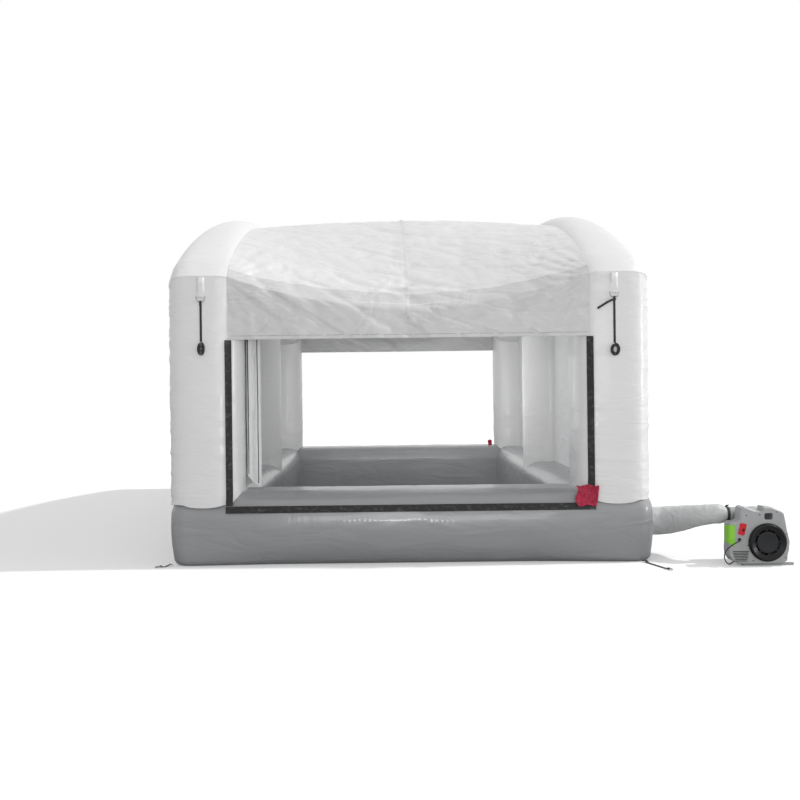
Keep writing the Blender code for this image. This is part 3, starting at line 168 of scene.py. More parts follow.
def cloth_finish(name, colour, rough, vary, crease, fold, folds, stretch=(1, 1, 1), coat=0.0,
                 pitch=0.003):
    """Coated fabric: fold is the strength of its folds, folds their scale, stretch, turn."""
    made, tree, shader = tree_of(name, colour, rough)
    tone = ramp(tree, speckle(tree, 2.2, 6.0, stretch), *around(colour, vary))
    gloss = ramp(tree, speckle(tree, 9.0, 4.0), (rough - 0.06,) * 3, (rough + 0.06,) * 3)
    normal = bump(tree, weave_of(tree, pitch), 0.12, 0.0004)
    normal = bump(tree, speckle(tree, 14.0, 5.0, stretch), crease, 0.006, normal)
    normal = bump(tree, folds_of(tree, *folds), fold, 0.06, normal)
    feed(tree, shader, Base_Color=tone, Roughness=gloss, Normal=normal, Coat_Weight=coat,
         Coat_Roughness=0.11)
    return made


def webbing_finish(name, colour, rough=0.75, pitch=0.0022, flecks=0.0):
    made, tree, shader = tree_of(name, colour, rough)
    low = tuple(c * 0.75 for c in colour)
    if flecks:
        grain = speckle(tree, 26.0, 2.0, (1, 1, 1.6))
        tone = ramp(tree, grain, low, (flecks,) * 3, 0.52, 0.72)
    else:
        tone = ramp(tree, speckle(tree, 60.0, 3.0), low, around(colour, 0.3)[1])
    normal = bump(tree, weave_of(tree, pitch, 0.4), 0.5, 0.0006)
    normal = bump(tree, speckle(tree, 220.0, 3.0), 0.2, 0.0006, normal)
    feed(tree, shader, Base_Color=tone, Normal=normal, Sheen_Weight=0.15)
    return made


def plastic_finish(name, colour, rough, grain=0.12, metal=0.0, scale=420.0, vary=0.05,
                   shine=None):
    made, tree, shader = tree_of(name, colour, rough, metal)
    tone = ramp(tree, speckle(tree, 16.0, 5.0), *around(colour, vary))
    gloss = ramp(tree, speckle(tree, 40.0, 4.0), (max(0.05, rough - 0.07),) * 3,
                 (rough + 0.07,) * 3)
    normal = bump(tree, speckle(tree, scale, 3.0), grain, 0.0005)
    feed(tree, shader, Base_Color=tone, Roughness=gloss, Normal=normal,
         Specular_IOR_Level=shine)
    return made


ROOF_FOLDS = (0.62, (2.4, (1, 1.5, 2.0), (0.2, 0.3, 0.5)), (1, 0.6, 1), 0.15)
WHITE = cloth_finish("booth_white_coated_fabric", (0.80, 0.80, 0.80), 0.40, 0.015, 0.16,
                     0.16, (2.6, (1, 1, 3.6)), coat=0.15)
ROOF = cloth_finish("booth_roof_fabric", (0.75, 0.75, 0.75), 0.44, 0.015, 0.22, *ROOF_FOLDS)
# Darker copy of the roof fabric for the canopy's hanging front and back: painted shade, not a
# different cloth
VALANCE_PAINTED_SHADE = cloth_finish("booth_valance_painted_shade", (0.63, 0.63, 0.635), 0.44, 0.02, 0.22, *ROOF_FOLDS)
PANEL = cloth_finish("booth_side_panel_fabric", (0.78, 0.785, 0.79), 0.46, 0.02, 0.16,
                     0.34, (1.5, (0.7, 0.7, 4.0), (0.12, 0, 0)))
GREY = cloth_finish("base_grey_coated_fabric", (0.315, 0.32, 0.33), 0.36, 0.02, 0.10,
                    0.32, (2.2, (0.8, 0.8, 2.6)), (1, 1, 0.7), 0.35)
FLOOR = cloth_finish("floor_sheet_fabric", (0.24, 0.245, 0.25), 0.42, 0.08, 0.25,
                     0.9, (2.0, (1, 0.7, 1), (0, 0, 0.6)))
VEIL = cloth_finish("curtain_fabric", (0.72, 0.725, 0.73), 0.4, 0.03, 0.2,
                    0.5, (5.0, (2, 2, 0.7)), (1, 1, 0.3))
SLEEVE = cloth_finish("sleeve_fabric", (0.60, 0.605, 0.61), 0.42, 0.03, 0.2,
                      0.5, (7.0, (2.2, 1, 1)))
RED_TAG = cloth_finish("red_tag_fabric", (0.42, 0.016, 0.055), 0.62, 0.35, 0.35,
                       0.5, (40.0,), pitch=0.002)
HOOK = webbing_finish("hook_and_loop_tape", (0.036, 0.036, 0.038), 0.9, 0.004, 0.075)
WEBBING = webbing_finish("black_webbing", (0.018, 0.018, 0.019))
PALE_TAB = webbing_finish("pale_tab_webbing", (0.72, 0.72, 0.71), 0.6)
THREAD = webbing_finish("stitch_thread", (0.30, 0.30, 0.31), 0.7)
DARK_EDGE = webbing_finish("curtain_edge_tape", (0.055, 0.056, 0.06), 0.8)
STEEL = plastic_finish("ring_steel_wire", (0.40, 0.40, 0.41), 0.38, 0.05, 1.0)
HOUSING = plastic_finish("blower_housing_grey", (0.40, 0.405, 0.41), 0.40, 0.22, 0.0, 300.0, 0.06)
BLACK = plastic_finish("blower_black_gloss", (0.016, 0.016, 0.017), 0.34, 0.05, shine=0.22)
MATT_BLACK = plastic_finish("blower_black_matt", (0.020, 0.020, 0.021), 0.6, 0.2)
DISC = plastic_finish("inlet_disc_dark_grey", (0.026, 0.027, 0.030), 0.45, 0.1, shine=0.22)
RED_SWITCH = plastic_finish("switch_red", (0.62, 0.012, 0.020), 0.30, 0.05)
GREEN = plastic_finish("side_plate_green", (0.26, 0.66, 0.035), 0.38, 0.08)
MOTOR = plastic_finish("motor_casing_paint", (0.30, 0.30, 0.31), 0.45, 0.1, 0.3)
CORD = plastic_finish("mains_cord_rubber", (0.020, 0.020, 0.021), 0.55, 0.1)


# Mesh helpers

def linked(name, data):
    item = bpy.data.objects.new(name, data)
    bpy.context.scene.collection.objects.link(item)
    return item


def piece(name, data, finish, hides=(), body="booth"):
    """A finished object on its body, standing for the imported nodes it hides."""
    data.materials.append(finish)
    item = linked(name, data)
    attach(item, body)
    if hides:
        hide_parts(*hides)
    return item


def smooth_mesh(mesh, form, sharp):
    """Fill a mesh from a bmesh, shaded smooth up to the sharp angle."""
    form.to_mesh(mesh)
    form.free()
    mesh.shade_smooth()
    mesh.set_sharp_from_angle(angle=radians(sharp))
    return mesh


def made_mesh(name, points, faces, finish, hides=(), sharp=60.0):
    mesh = bpy.data.meshes.new(name)
    mesh.from_pydata(points, [], faces)
    form = bmesh.new()
    form.from_mesh(mesh)
    bmesh.ops.remove_doubles(form, verts=form.verts, dist=0.00002)
    bmesh.ops.dissolve_degenerate(form, edges=form.edges, dist=0.00001)
    return piece(name, smooth_mesh(mesh, form, sharp), finish, hides)


def grid_faces(rows, columns, round_rows=False, round_columns=False, start=0):
    faces = []
    for r in range(rows if round_rows else rows - 1):
        here, after = start + r * columns, start + ((r + 1) % rows) * columns
        for c in range(columns if round_columns else columns - 1):
            d = (c + 1) % columns
            faces.append((here + c, here + d, after + d, after + c))
    return faces


def tube(name, rings, finish, hides=(), sharp=60.0, ends=True):
    """Mesh of a row of closed rings, its two ends closed on request."""
    rows, sides = len(rings), len(rings[0])
    faces = grid_faces(rows, sides, False, True)
    if ends:
        faces += [tuple(range(sides))[::-1], tuple(range((rows - 1) * sides, rows * sides))]
    return made_mesh(name, flatten(rings), faces, finish, hides, sharp)


def swollen_tube(name, rings, finish=WHITE):
    """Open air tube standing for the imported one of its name."""
    tube(name + "_tube", rings, finish, [name], ends=False)


def sheet_faces(lines, width, outward=True):
    """Faces of a thin sheet: front, back and rim."""
    last = lines * width
    front = grid_faces(lines, width)
    back = grid_faces(lines, width, start=last)
    border = list(range(width)) + list(range(2 * width - 1, last, width))
    border += list(range(last - 2, last - width - 1, -1))
    border += list(range(last - 2 * width, 0, -width))
    rim = [(a, b, b + last, a + last) for a, b in zip(border, border[1:] + border[:1])]
    if outward:
        return front + [f[::-1] for f in back + rim]
    return [f[::-1] for f in front] + back + rim


def rippled(rings, height, closed=True):
    """Move a grid of points along its own normals by height(point, normal)."""
    grid = np.array([[tuple(p) for p in ring] for ring in rings])
    if closed:
        side = np.roll(grid, -1, 1) - np.roll(grid, 1, 1)
    else:
        side = np.gradient(grid, axis=1)
    cross = np.cross(side, np.gradient(grid, axis=0))
    size = np.linalg.norm(cross, axis=2, keepdims=True)
    size[size < 1e-12] = 1.0
    return [[Vector(p) + Vector(n) * height(Vector(p), Vector(n)) for p, n in zip(row, ways)]
            for row, ways in zip(grid, cross / size)]


def flatten(rings):
    return [p for ring in rings for p in ring]


def circle(steps):
    return [2 * pi * k / steps for k in range(steps)]


def soft_noise(p, scale, seed=0.0):
    x, y, z = (p[i] * scale[i] for i in range(3))
    return noise.noise(Vector((x + seed, y - seed, z + seed)))


def crest_of(p, scale, seed, wide):
    """1 on the fold lines of a noise, falling to 0 at a width beside them."""
    return max(0.0, wide - abs(soft_noise(p, scale, seed))) / wide


def refined(node_name, name, finish, cuts, body="booth", height=None, sharp=45.0,
            smooth=0.0):
    """A closer-meshed copy of a packed soft solid, standing for it."""
    form = bmesh.new()
    form.from_mesh(NODES[node_name].data)
    bmesh.ops.remove_doubles(form, verts=form.verts, dist=0.00005)
    bmesh.ops.join_triangles(form, faces=form.faces, angle_face_threshold=0.3,
                             angle_shape_threshold=1.2)
    bmesh.ops.subdivide_edges(form, edges=form.edges, cuts=cuts, use_grid_fill=True,
                              smooth=smooth)
    form.normal_update()
    if height:
        for v in form.verts:
            v.co += v.normal * height(v.co, v.normal)
    mesh = smooth_mesh(bpy.data.meshes.new(name), form, sharp)
    return piece(name, mesh, finish, [node_name], body)


def smooth_path(route, steps):
    """Catmull-Rom points through a route."""
    route = [Vector(p) for p in route]
    ends = [route[0] * 2 - route[1]] + route + [route[-1] * 2 - route[-2]]
    path = []
    for i in range(1, len(ends) - 2):
        a, b, c, d = ends[i - 1:i + 3]
        for k in range(steps):
            t = k / steps
            path.append(0.5 * (2 * b + (c - a) * t + (2 * a - 5 * b + 4 * c - d) * t * t
                               + (3 * b - a - 3 * c + d) * t ** 3))
    return path + [route[-1]]


def length_of(path):
    return sum((b - a).length for a, b in zip(path, path[1:]))


def spaced(path, step):
    """Points at about equal spacing along a path, both ends kept."""
    total = length_of(path)
    count = max(2, round(total / step))
    wanted = due = total / count
    found = [path[0].copy()]
    run = 0.0
    for a, b in zip(path, path[1:]):
        length = (b - a).length
        while due <= run + length + 1e-9 and len(found) < count:
            found.append(a.lerp(b, (due - run) / length))
            due += wanted
        run += length
    return found + [path[-1].copy()]


def tape(name, path, ways, width, thick, finish, lift=0.0):
    """Flat strip along a path of points; ways are (across, out) pairs."""
    rings = []
    for p, (across, out) in zip(path, ways):
        across = across.normalized()
        out = out.normalized()
        base = p + out * lift
        half = across * width / 2
        shoulder = across * (width / 2 - thick * 0.4)
        rings.append([base - half, base + half, base + shoulder + out * thick,
                      base + out * thick, base - shoulder + out * thick])
    return tube(name, rings, finish, sharp=40.0)


def turned(name, x, y, z, profile, finish, sides, sharp):
    """Round piece facing the front: (forward, radius) pairs, both ends closed."""
    rings = [[Vector((x + cos(t) * radius, y - along, z + sin(t) * radius))
              for t in circle(sides)] for along, radius in profile]
    tube(name, rings, finish, sharp=sharp)


def rounded_bar(name, low, high, radius, finish):
    """Box with rounded edges."""
    form = bmesh.new()
    bmesh.ops.create_cube(form, size=1.0)
    for v in form.verts:
        v.co = Vector([low[i] + (v.co[i] + 0.5) * (high[i] - low[i]) for i in range(3)])
    bmesh.ops.bevel(form, geom=form.edges[:], offset=radius, segments=3, affect="EDGES")
    return piece(name, smooth_mesh(bpy.data.meshes.new(name), form, 50), finish)


# Camera at the photograph's place

def place_camera():
    photo, focal, middle_x, middle_y, film = 800.0, 958.1, 382.54, 386.12, 36.0
    lens = bpy.data.cameras.new("photo_camera")
    lens.sensor_width = film
    lens.lens = focal * film / photo
    lens.shift_x = (photo / 2 - middle_x) / photo
    lens.shift_y = (middle_y - photo / 2) / photo
    lens.clip_end = 200.0
    camera = linked("photo_camera", lens)
    turn = Matrix.Rotation(pi / 2, 4, "X") @ Matrix.Rotation(-0.0117, 4, "Z")
    camera.matrix_world = Matrix.Translation((-0.2175, -10.856, 1.45)) @ turn
    bpy.context.scene.camera = camera


# Mains cord: loop in view, the rest wound into a coil behind the blower

def mains_cord():
    lie = CORD_R + GAP
    cx, cy, inner, pitch, turns = FAN_X + 0.007, REAR_Y + 0.12, 0.038, 0.0096, 2.5
    lap, climb = 24, 7
    outer = inner + pitch * turns
    meet = Vector((cx - 0.012, cy - outer, lie))
    route = [(x, FACE_Y + y, z) for x, y, z in (
        (2.573, -0.034, 0.212), (2.556, -0.046, 0.205), (2.515, -0.042, 0.183),
        (2.472, -0.024, 0.143), (2.455, -0.004, 0.098), (2.463, 0.014, 0.052),
        (2.492, 0.040, 0.018), (2.528, 0.085, lie), (2.565, 0.145, lie), (2.612, 0.21, lie),
        (2.648, 0.28, lie), (2.672, 0.335, lie), (2.70, 0.375, lie))]
    route += [(2.74, meet.y, lie), (meet.x - 0.010, meet.y, lie)]
    path = [Vector((2.573, FACE_Y - 0.0243, 0.212))]
    path += spaced(smooth_path(route, 8), 0.012)
    path = [Vector((p.x, p.y, max(p.z, lie))) for p in path] + [meet]
    steps = int(turns * lap)
    low = inner - pitch * climb / lap
    winding = [(outer - (outer - inner) * i / steps, i, 0.0) for i in range(1, steps + 1)]
    for i in range(1, steps + 7):
        if i <= climb:
            radius = inner - pitch * i / lap
        elif i < lap:
            radius = low + (inner + pitch - low) * (i - climb) / (lap - climb)
        else:
            radius = inner + pitch * i / lap
        rise = min(1.0, i / climb)
        winding.append((radius, steps + i, rise * rise * (3 - 2 * rise)))
    for radius, i, rise in winding:
        turn = 2 * pi * i / lap - pi / 2
        path.append(Vector((cx + radius * cos(turn), cy + radius * sin(turn), lie + pitch * rise)))
    path.append(path[-1] + Vector((0, 0.010, 0)))
    line = bpy.data.curves.new("mains_cord", "CURVE")
    line.dimensions = "3D"
    line.bevel_depth = CORD_R
    line.bevel_resolution = 3
    line.use_fill_caps = True
    spline = line.splines.new("POLY")
    spline.points.add(len(path) - 1)
    for point, p in zip(spline.points, path):
        point.co = (*p, 1.0)
    item = piece("mains_cord", line, CORD, ["power_cord", "cord_coil"])


# Base ring of four air tubes

def base_height(x, y):
    """Height of the base's upper surface under a point."""
    dx = abs(x) - POST_X
    dy = abs(y) - POST_Y
    u = abs(max(dx, dy))
    c = 1.0 - PLAN_CORNER
    if dx > c * dy > 0 and dy > c * dx > 0:
        s, q = c * (dx + dy), dx * dx + dy * dy
        m = 2 * c * c - PLAN_CORNER ** 2
        u = (s - sqrt(max(0.0, s * s - m * q))) / m
    flat = BASE_HALF - BASE_CORNER
    if u <= flat:
        return BASE_H
    return BASE_H - BASE_CORNER + sqrt(max(0.0, BASE_CORNER ** 2 - (u - flat) ** 2))


def base_outline(steps=12):
    top = BASE_HALF - BASE_CORNER
    outline = [(0.0, BASE_H), (top * 0.5, BASE_H)]
    for side, r, first in ((1, BASE_CORNER, 90), (1, FOOT_CORNER, 0), (-1, FOOT_CORNER, -90),
                           (-1, BASE_CORNER, -180)):
        cz = BASE_H - r if r == BASE_CORNER else r
        for k in range(steps + 1):
            t = radians(first - k * 90.0 / steps)
            outline.append((side * (BASE_HALF - r) + r * cos(t), cz + r * sin(t)))
        if first in (90, -90):
            ends = (BASE_H - BASE_CORNER, FOOT_CORNER)
            ends = ends if first == 90 else ends[::-1]
            outline += [(side * BASE_HALF, ends[0] + (ends[1] - ends[0]) * f)
                        for f in (0.15, 0.32, 0.5, 0.68, 0.85)]
        elif first == 0:
            outline += [(u, 0.0) for u in (0.12, 0.0, -0.12)]
    return outline + [(-top * 0.5, BASE_H)]


def base_swell(p, n):
    """Wrinkles of the base, with puckers at its seams and corners."""
    if p.z < 0.02:
        return 0.0
    free = min(1.0, (p.z - 0.02) / 0.08)
    inner = abs(p.x) < POST_X and abs(p.y) < POST_Y
    corner = hypot(max(0.0, abs(p.x) - 1.3), max(0.0, abs(p.y) - POST_Y + 0.38))
    value = 0.0022 * soft_noise(p, (1.3, 1.3, 3.0), 3.0)
    value -= 0.0016 * crest_of(p, (4.0, 4.0, 9.0), 8.0, 0.22)
    near = max(0.0, 1.0 - abs(corner - 0.62) / 0.16)
    wander = 6.0 * soft_noise(p, (1.4, 1.4, 3.0), 1.0)
    value += 0.0050 * near * (sin(52.0 * p.z + wander) + 0.4 * sin(97.0 * p.z - wander))
    if p.y < -POST_Y:
        sill = exp(-((p.z - 0.38) / 0.07) ** 2) * max(0.0, 1.0 - (p.x / 1.45) ** 4)
        gathers = sin(150.0 * p.x + 5.0 * soft_noise(p, (1.2, 0, 2.0), 5.0))
        gathers *= max(0.0, 0.35 + soft_noise(p, (1.6, 0, 3.0), 6.0))
        value += 0.0014 * sill * gathers
    if inner:
        mitre = abs((POST_X - abs(p.x)) - (POST_Y - abs(p.y)))
        wave = 0.0020 * sin(60.0 * p.z) * (1.0 - exp(-mitre / 0.02))
        value += exp(-mitre / 0.10) * (wave - 0.004)
    return value * free - 0.0015


def drawn_in(rings):
    """Rings with their outer sides a little inside the plan's outline."""
    for ring in rings:
        for p in ring:
            pull = DRAWN_IN * min(1.0, max(0.0, abs(p.x) - POST_X - 0.10) / 0.18)
            p.x -= copysign(pull, p.x)
    return rings


def side_round(u, z, middle, front, tight):
    """Outward shift of the base's outer side: full at mid height, drawn in below."""
    if u <= 0.15:
        return 0.0
    full = DRAWN_IN * middle * front - tight * (1.0 - middle * front)
    deep = 0.03 + 0.06 * middle
    share = min(1.0, (u - 0.15) / 0.12)
    low = ((z - 0.31) / 0.31) ** 2
    return share * (full - deep * (low if z < 0.31 else min(low, 0.28)))


def base_tube(name, outward, along, offset, length):
    outward = Vector(outward)
    along = Vector(along)
    outline = base_outline()
    turns = [5.0 * k for k in range(1, 10)]
    count = int(length * 2 / (0.012 if name == "base_front" else 0.04))
    stations = [(-1.0, t) for t in turns[::-1]]
    stations += [(2.0 * k / count - 1.0, 0.0) for k in range(count + 1)]
    stations += [(1.0, t) for t in turns]
    rings = []
    for f, turn in stations:
        t = radians(turn)
        end = 1.0 if f > 0 else -1.0
        middle = min(1.0, (1.0 - abs(f)) * length / 0.8)
        middle = middle * middle * (3.0 - 2.0 * middle)
        ring = []
        tight = 0.030 if (outward + along * f).x < 0 else 0.008
        for u, z in outline:
            u *= 1.0 - 0.12 * max(0.0, 1.0 - z / 0.34) ** 2 * middle
            u += side_round(u, z, middle, 1.0 if outward.y else 0.0, tight)
            r = PLAN_CORNER * max(0.0, u)
            reach = f * (length + (u - r if u > 0 else u))
            here = outward * (offset + u) + along * reach
            if turn and u > 0:
                here = outward * (offset + u - r + r * cos(t))
                here += along * (reach + end * r * sin(t))
            ring.append(here + Vector((0, 0, z)))
        rings.append(ring)
    sign = outward_sign(rings)
    rings = rippled(rings, lambda p, n: base_swell(p, n) * sign)
    swollen_tube(name, rings, GREY)


def outward_sign(rings):
    """1 where the grid's own normals point out of the tube, else -1."""
    middle = len(rings) // 2
    first = rings[middle]
    heart = sum(first, Vector()) / len(first)
    onward = rings[middle + 1][0] - rings[middle - 1][0]
    return 1 if (first[1] - first[-1]).cross(onward).dot(first[0] - heart) > 0 else -1


# Posts and roof arches

def post_swell(top_of):
    """Wrinkles of an upright tube between its two seams."""
    def height(p, n):
        turn = atan2(n.y, n.x)
        value = -0.0012 + 0.0020 * soft_noise(p, (2.2, 2.2, 2.6), 5.0)
        bands = soft_noise(p, (2.4, 2.4, 15.0), 11.0)
        value += 0.0014 * bands * max(0.0, soft_noise(p, (1.1, 1.1, 1.4), 2.0) + 0.35)
        value -= 0.0012 * crest_of(p, (4.5, 4.5, 9.0), 17.0, 0.16)
        side = min(1.0, max(0.0, abs(p.x) - POST_X - 0.20) / 0.09)
        value += side * (0.0075 * crest_of(p, (1.8, 1.8, 17.0), 23.0, 0.26) - 0.002)
        inside = min(1.0, max(0.0, POST_X - abs(p.x) - 0.02) / 0.15)
        value += inside * 0.0032 * soft_noise(p, (2.5, 2.5, 13.0), 29.0)
        for gap in (p.z - base_height(p.x, p.y), top_of(p.x, p.y) - p.z):
            gap = max(0.0, gap)
            wave = sin(26.0 * turn + 3.0 * sin(3.0 * turn))
            wave *= 1 - exp(-gap / 0.012)
            value += exp(-gap / 0.075) * (0.0030 * wave - 0.0035)
        return value
    return height


def tube_section(square, sides=80):
    """(sideways, outward) points round an air tube; square 1 gives the flatter faces."""
    flat = POST_FLAT * square
    return [tuple(flat * tanh(4.0 * v) / tanh(4.0) + (SOFT_R - flat) * v
                  for v in (sin(t), cos(t))) for t in circle(sides)]


def surface_at(a, square):
    """Outward distance of the tube's surface at a sideways distance."""
    points = sorted(p for p in tube_section(square, 240) if p[0] >= 0 and p[1] >= 0)
    return float(np.interp(a, [p[0] for p in points], [p[1] for p in points]))


def upright(name, x, y, top_of, square):
    """Post tube from the base's surface to the arch, its foot cut along the base."""
    rows = 84
    rings = []
    feet = []
    for a, b in tube_section(square):
        px, py = x + a, y - b
        low = base_height(px, py) - 0.002
        feet.append((px, py, min(low, 0.505) if square else low, top_of(px, py)))
    for r in range(rows + 1):
        f = r / rows
        f -= 0.10 * sin(2 * pi * f)
        rings.append([Vector((px, py, low + (high - low) * f)) for px, py, low, high in feet])
    swollen_tube(name, drawn_in(rippled(rings, post_swell(top_of))))


def arch_point(turn):
    centre = Vector((0.0, ARC_R * sin(turn), ARC_Z + ARC_R * cos(turn)))
    out = Vector((0.0, sin(turn), cos(turn)))
    onward = Vector((0.0, cos(turn), -sin(turn)))
    return centre, out, onward


def arch_swell(p, n):
    """Wrinkles of a roof tube: puckers at its elbow crease, soft creases between."""
    end = 1.0 if p.y > 0 else -1.0
    crease = p - Vector((p.x, end * POST_Y, ELBOW_Z))
    line = Vector((0.0, end * cos(CREASE), sin(CREASE)))
    across = Vector((0.0, -end * cos(CREASE), sin(CREASE)))
    inside = max(0.0, -crease.dot(line))
    near = exp(-abs(crease.dot(across)) / 0.13) * min(1.0, inside / 0.1)
    turn = atan2(n.x, n.z * 0.7 - n.y * end * 0.7)
    value = -0.0012 + 0.0024 * soft_noise(p, (2.4, 2.0, 2.4), 21.0)
    value -= 0.0026 * crest_of(p, (6.0, 3.2, 6.0), 27.0, 0.18)
    value += near * (0.0060 * sin(24.0 * turn) - 0.004)
    bands = soft_noise(p, (2.0, 13.0, 5.0), 33.0)
    return value + 0.0022 * bands * max(0.0, soft_noise(p, (1.0, 1.0, 1.0), 31.0) + 0.3)


def elbow_out(end, share):
    """Outward vector across the elbow, from the post's seam (0) to the arch's end (1)."""
    t = SEAM + (pi / 2 - SLOPE - SEAM) * share
    way = Vector((cos(t), sin(t)))
    corner = Vector((1.0, tan(SEAM)))
    run = Vector((sin(SLOPE), cos(SLOPE))) - corner
    stretch = corner.cross(run) / way.cross(run) * (1.0 + 0.012 * sin(pi * share))
    return Vector((0.0, end * way.x, way.y)) * stretch


def squareness(f):
    """How square the roof tube is at a share f of its length."""
    return max(0.0, 1.0 - min(f, 1.0 - f) * 10.0 / 3.0)


def roof_tube(name, x):
    across = Vector((1, 0, 0))
    mid = Vector((x, 0, 0))
    count = 96

    def elbow(end):
        heart = Vector((x, end * POST_Y, ELBOW_Z))
        _, out_end, onward = arch_point(end * SLOPE)
        inner = out_end + onward * (end * tan(CREASE))
        found = []
        for k in range(17):
            outer = elbow_out(end, k / 16)
            found.append([heart + across * a + (outer if b > -1e-6 else inner) * b
                          for a, b in tube_section(1.0)])
        return found

    rings = elbow(-1)
    for i in range(1, count):
        centre, out, _ = arch_point(SLOPE * (2.0 * i / count - 1.0))
        rings.append([mid + centre + across * a + out * b
                      for a, b in tube_section(squareness(i / count))])
    rings += elbow(1)[::-1]
    sign = outward_sign(rings)
    sides = len(rings[0])
    moved = []
    for r, ring in enumerate(rings):
        before = rings[max(0, r - 1)]
        after = rings[min(len(rings) - 1, r + 1)]
        row = []
        for k, p in enumerate(ring):
            n = (ring[(k + 1) % sides] - ring[k - 1]).cross(after[k] - before[k])
            if n.length < 1e-9:
                row.append(p - Vector((p.x - x, 0.0, -0.2)).normalized() * 0.001)
            else:
                n = n.normalized() * sign
                row.append(p + n * arch_swell(p, n))
        moved.append(row)
    swollen_tube(name, drawn_in(moved))


def post_top(x, y):
    """Top of an end post: up to the seam in front, down to the crease behind."""
    b = abs(y) - POST_Y
    return ELBOW_Z + b * tan(CREASE if b < 0 else SEAM)


def arch_low(x, y):
    """Height of the arch's underside above a point of the side row."""
    a = abs(x) - POST_X
    reach = ARC_R - sqrt(max(0.0, SOFT_R ** 2 - a * a))
    return ARC_Z + sqrt(max(0.0, reach * reach - y * y)) + 0.004


# Canopy: one sheet from front hem over the roof to back hem

CANOPY_REACH = POST_X - JOIN_A
FINE = 7


def hem_of(end):
    return FRONT_HEM_Z if end < 0 else BACK_HEM_Z


def canopy_lines():
    """Matching (y, z) lines along the canopy's side edge and its middle."""
    def edge(end):
        hem = hem_of(end)
        lift = surface_at(JOIN_A, 1.0) + SHEET_LIFT
        seam = ELBOW_Z + lift * tan(SEAM)
        shares = np.interp(np.arange(3 * FINE) / FINE, range(4), (0.0, 0.33, 0.68, 1.0))
        found = [(end * (POST_Y + lift), hem + (seam - hem) * float(f)) for f in shares]
        for k in range(4 * FINE):
            out = elbow_out(end, k / (4.0 * FINE))
            found.append((end * POST_Y + out.y * lift, ELBOW_Z + out.z * lift))
        for k in range(5 * FINE):
            f = k / (10.0 * FINE)
            centre, out, _ = arch_point(end * SLOPE * (1.0 - 2.0 * f))
            here = surface_at(JOIN_A, squareness(f)) + SHEET_LIFT
            found.append((centre.y + out.y * here, centre.z + out.z * here))
        return found

    top = ARCH_CROWN + surface_at(JOIN_A, 0.0) + SHEET_LIFT
    crown = top + CROWN_RISE

    def middle(end):
        hem = hem_of(end)
        inset = (0.0, 0.008, 0.018, 0.035, 0.095, 0.185, 0.315, 0.495)
        rise = (0.0, 0.11, 0.19, 0.25, 0.31, 0.395, 0.49, 0.61)
        found = [(end * (POST_Y + 0.293 - a),
                  hem + b + (FRONT_HEM_Z - hem) * min(1.0, b / 0.25))
                 for a, b in zip(inset, rise)]
        return found + [(end * share * POST_Y, crown - drop) for share, drop in
                        ((0.821, 0.610), (0.6455, 0.375), (0.431, 0.160), (0.2164, 0.040))]

    edges, middles = ([Vector((0, y, z)) for y, z in line(-1) + [(0.0, peak)] + line(1)[::-1]]
                      for line, peak in ((edge, top), (middle, crown)))
    return edges, smooth_path(middles, FINE)


EDGE_LINE, MIDDLE_LINE = canopy_lines()


def canopy_point(u, row):
    """Point of the plain sheet: u from -1 to 1 across, row along the lines."""
    row = max(0.0, min(len(EDGE_LINE) - 1.001, row))
    k = int(row)
    a, b = (line[k].lerp(line[k + 1], row - k) for line in (EDGE_LINE, MIDDLE_LINE))
    f = 1.0 - u * u
    return Vector((u * CANOPY_REACH, a.y + (b.y - a.y) * f, a.z + (b.z - a.z) * f))


def canopy_swell(p, n):
    """Creases, seam puckers and hem ripples of the roof fabric."""
    value = 0.007 * soft_noise(p, (1.1, 0.9, 1.3), 41.0)
    q = Vector((p.x + 0.5 * p.z, p.y - 0.3 * p.x, p.z + 0.45 * p.x))
    value -= 0.010 * crest_of(q, (1.2, 2.6, 3.4), 47.0, 0.20)
    value -= 0.006 * crest_of(q, (2.6, 3.6, 6.5), 53.0, 0.20)
    value -= 0.0030 * crest_of(q, (6.0, 5.0, 12.0), 59.0, 0.22)
    wander = soft_noise(p, (0.0, 3.0, 3.0), 3.0)
    along = p.y * 26.0 + p.z * 24.0 + 5.0 * wander + 14.0 * p.x
    along += 3.0 * soft_noise(p, (5, 2, 2), 19.0)
    pucker = 0.0170 * sin(along) * (0.35 + 1.3 * abs(wander)) - 0.006
    value += exp(-abs(p.x) / 0.075) * pucker
    side = CANOPY_REACH - abs(p.x)
    gathers = sin(p.y * 33.0 + p.z * 38.0 + 4.0 * soft_noise(p, (2, 2, 2), 7.0))
    value += exp(-side / 0.13) * 0.0080 * gathers
    if abs(p.y) > POST_Y + 0.07 and p.z < 2.45:
        drop = p.z - hem_of(p.y)
        drape = sin(p.x * 5.3 + 1.3 * soft_noise(p, (1.5, 0, 1), 9.0))
        value += 0.004 * drape * min(1.0, drop / 0.1) * max(0.0, 1.0 - drop / 0.55)
        value += 0.0040 * soft_noise(p, (3.0, 1.0, 9.0), 61.0)
    fan = hypot(side, (p.z - 2.34) * 0.9)
    if fan < 0.60 and abs(p.y) > 1.9:
        turn = atan2(p.z - 2.34, side + 0.02) + (0.5 if p.x > 0 else 0.0)
        ray = sin(17.0 * turn + 6.0 * soft_noise(p, (2.6, 2, 2), 13.0))
        value += 0.007 * ray * (1 - fan / 0.60) * min(1.0, fan / 0.12)
    return value * max(0.0, 1.0 - (abs(p.x) / CANOPY_REACH) ** 10)


def steep(a, b):
    """True where the sheet hangs rather than lies between two points."""
    return abs(b.z - a.z) >= 0.9 * abs(b.y - a.y)


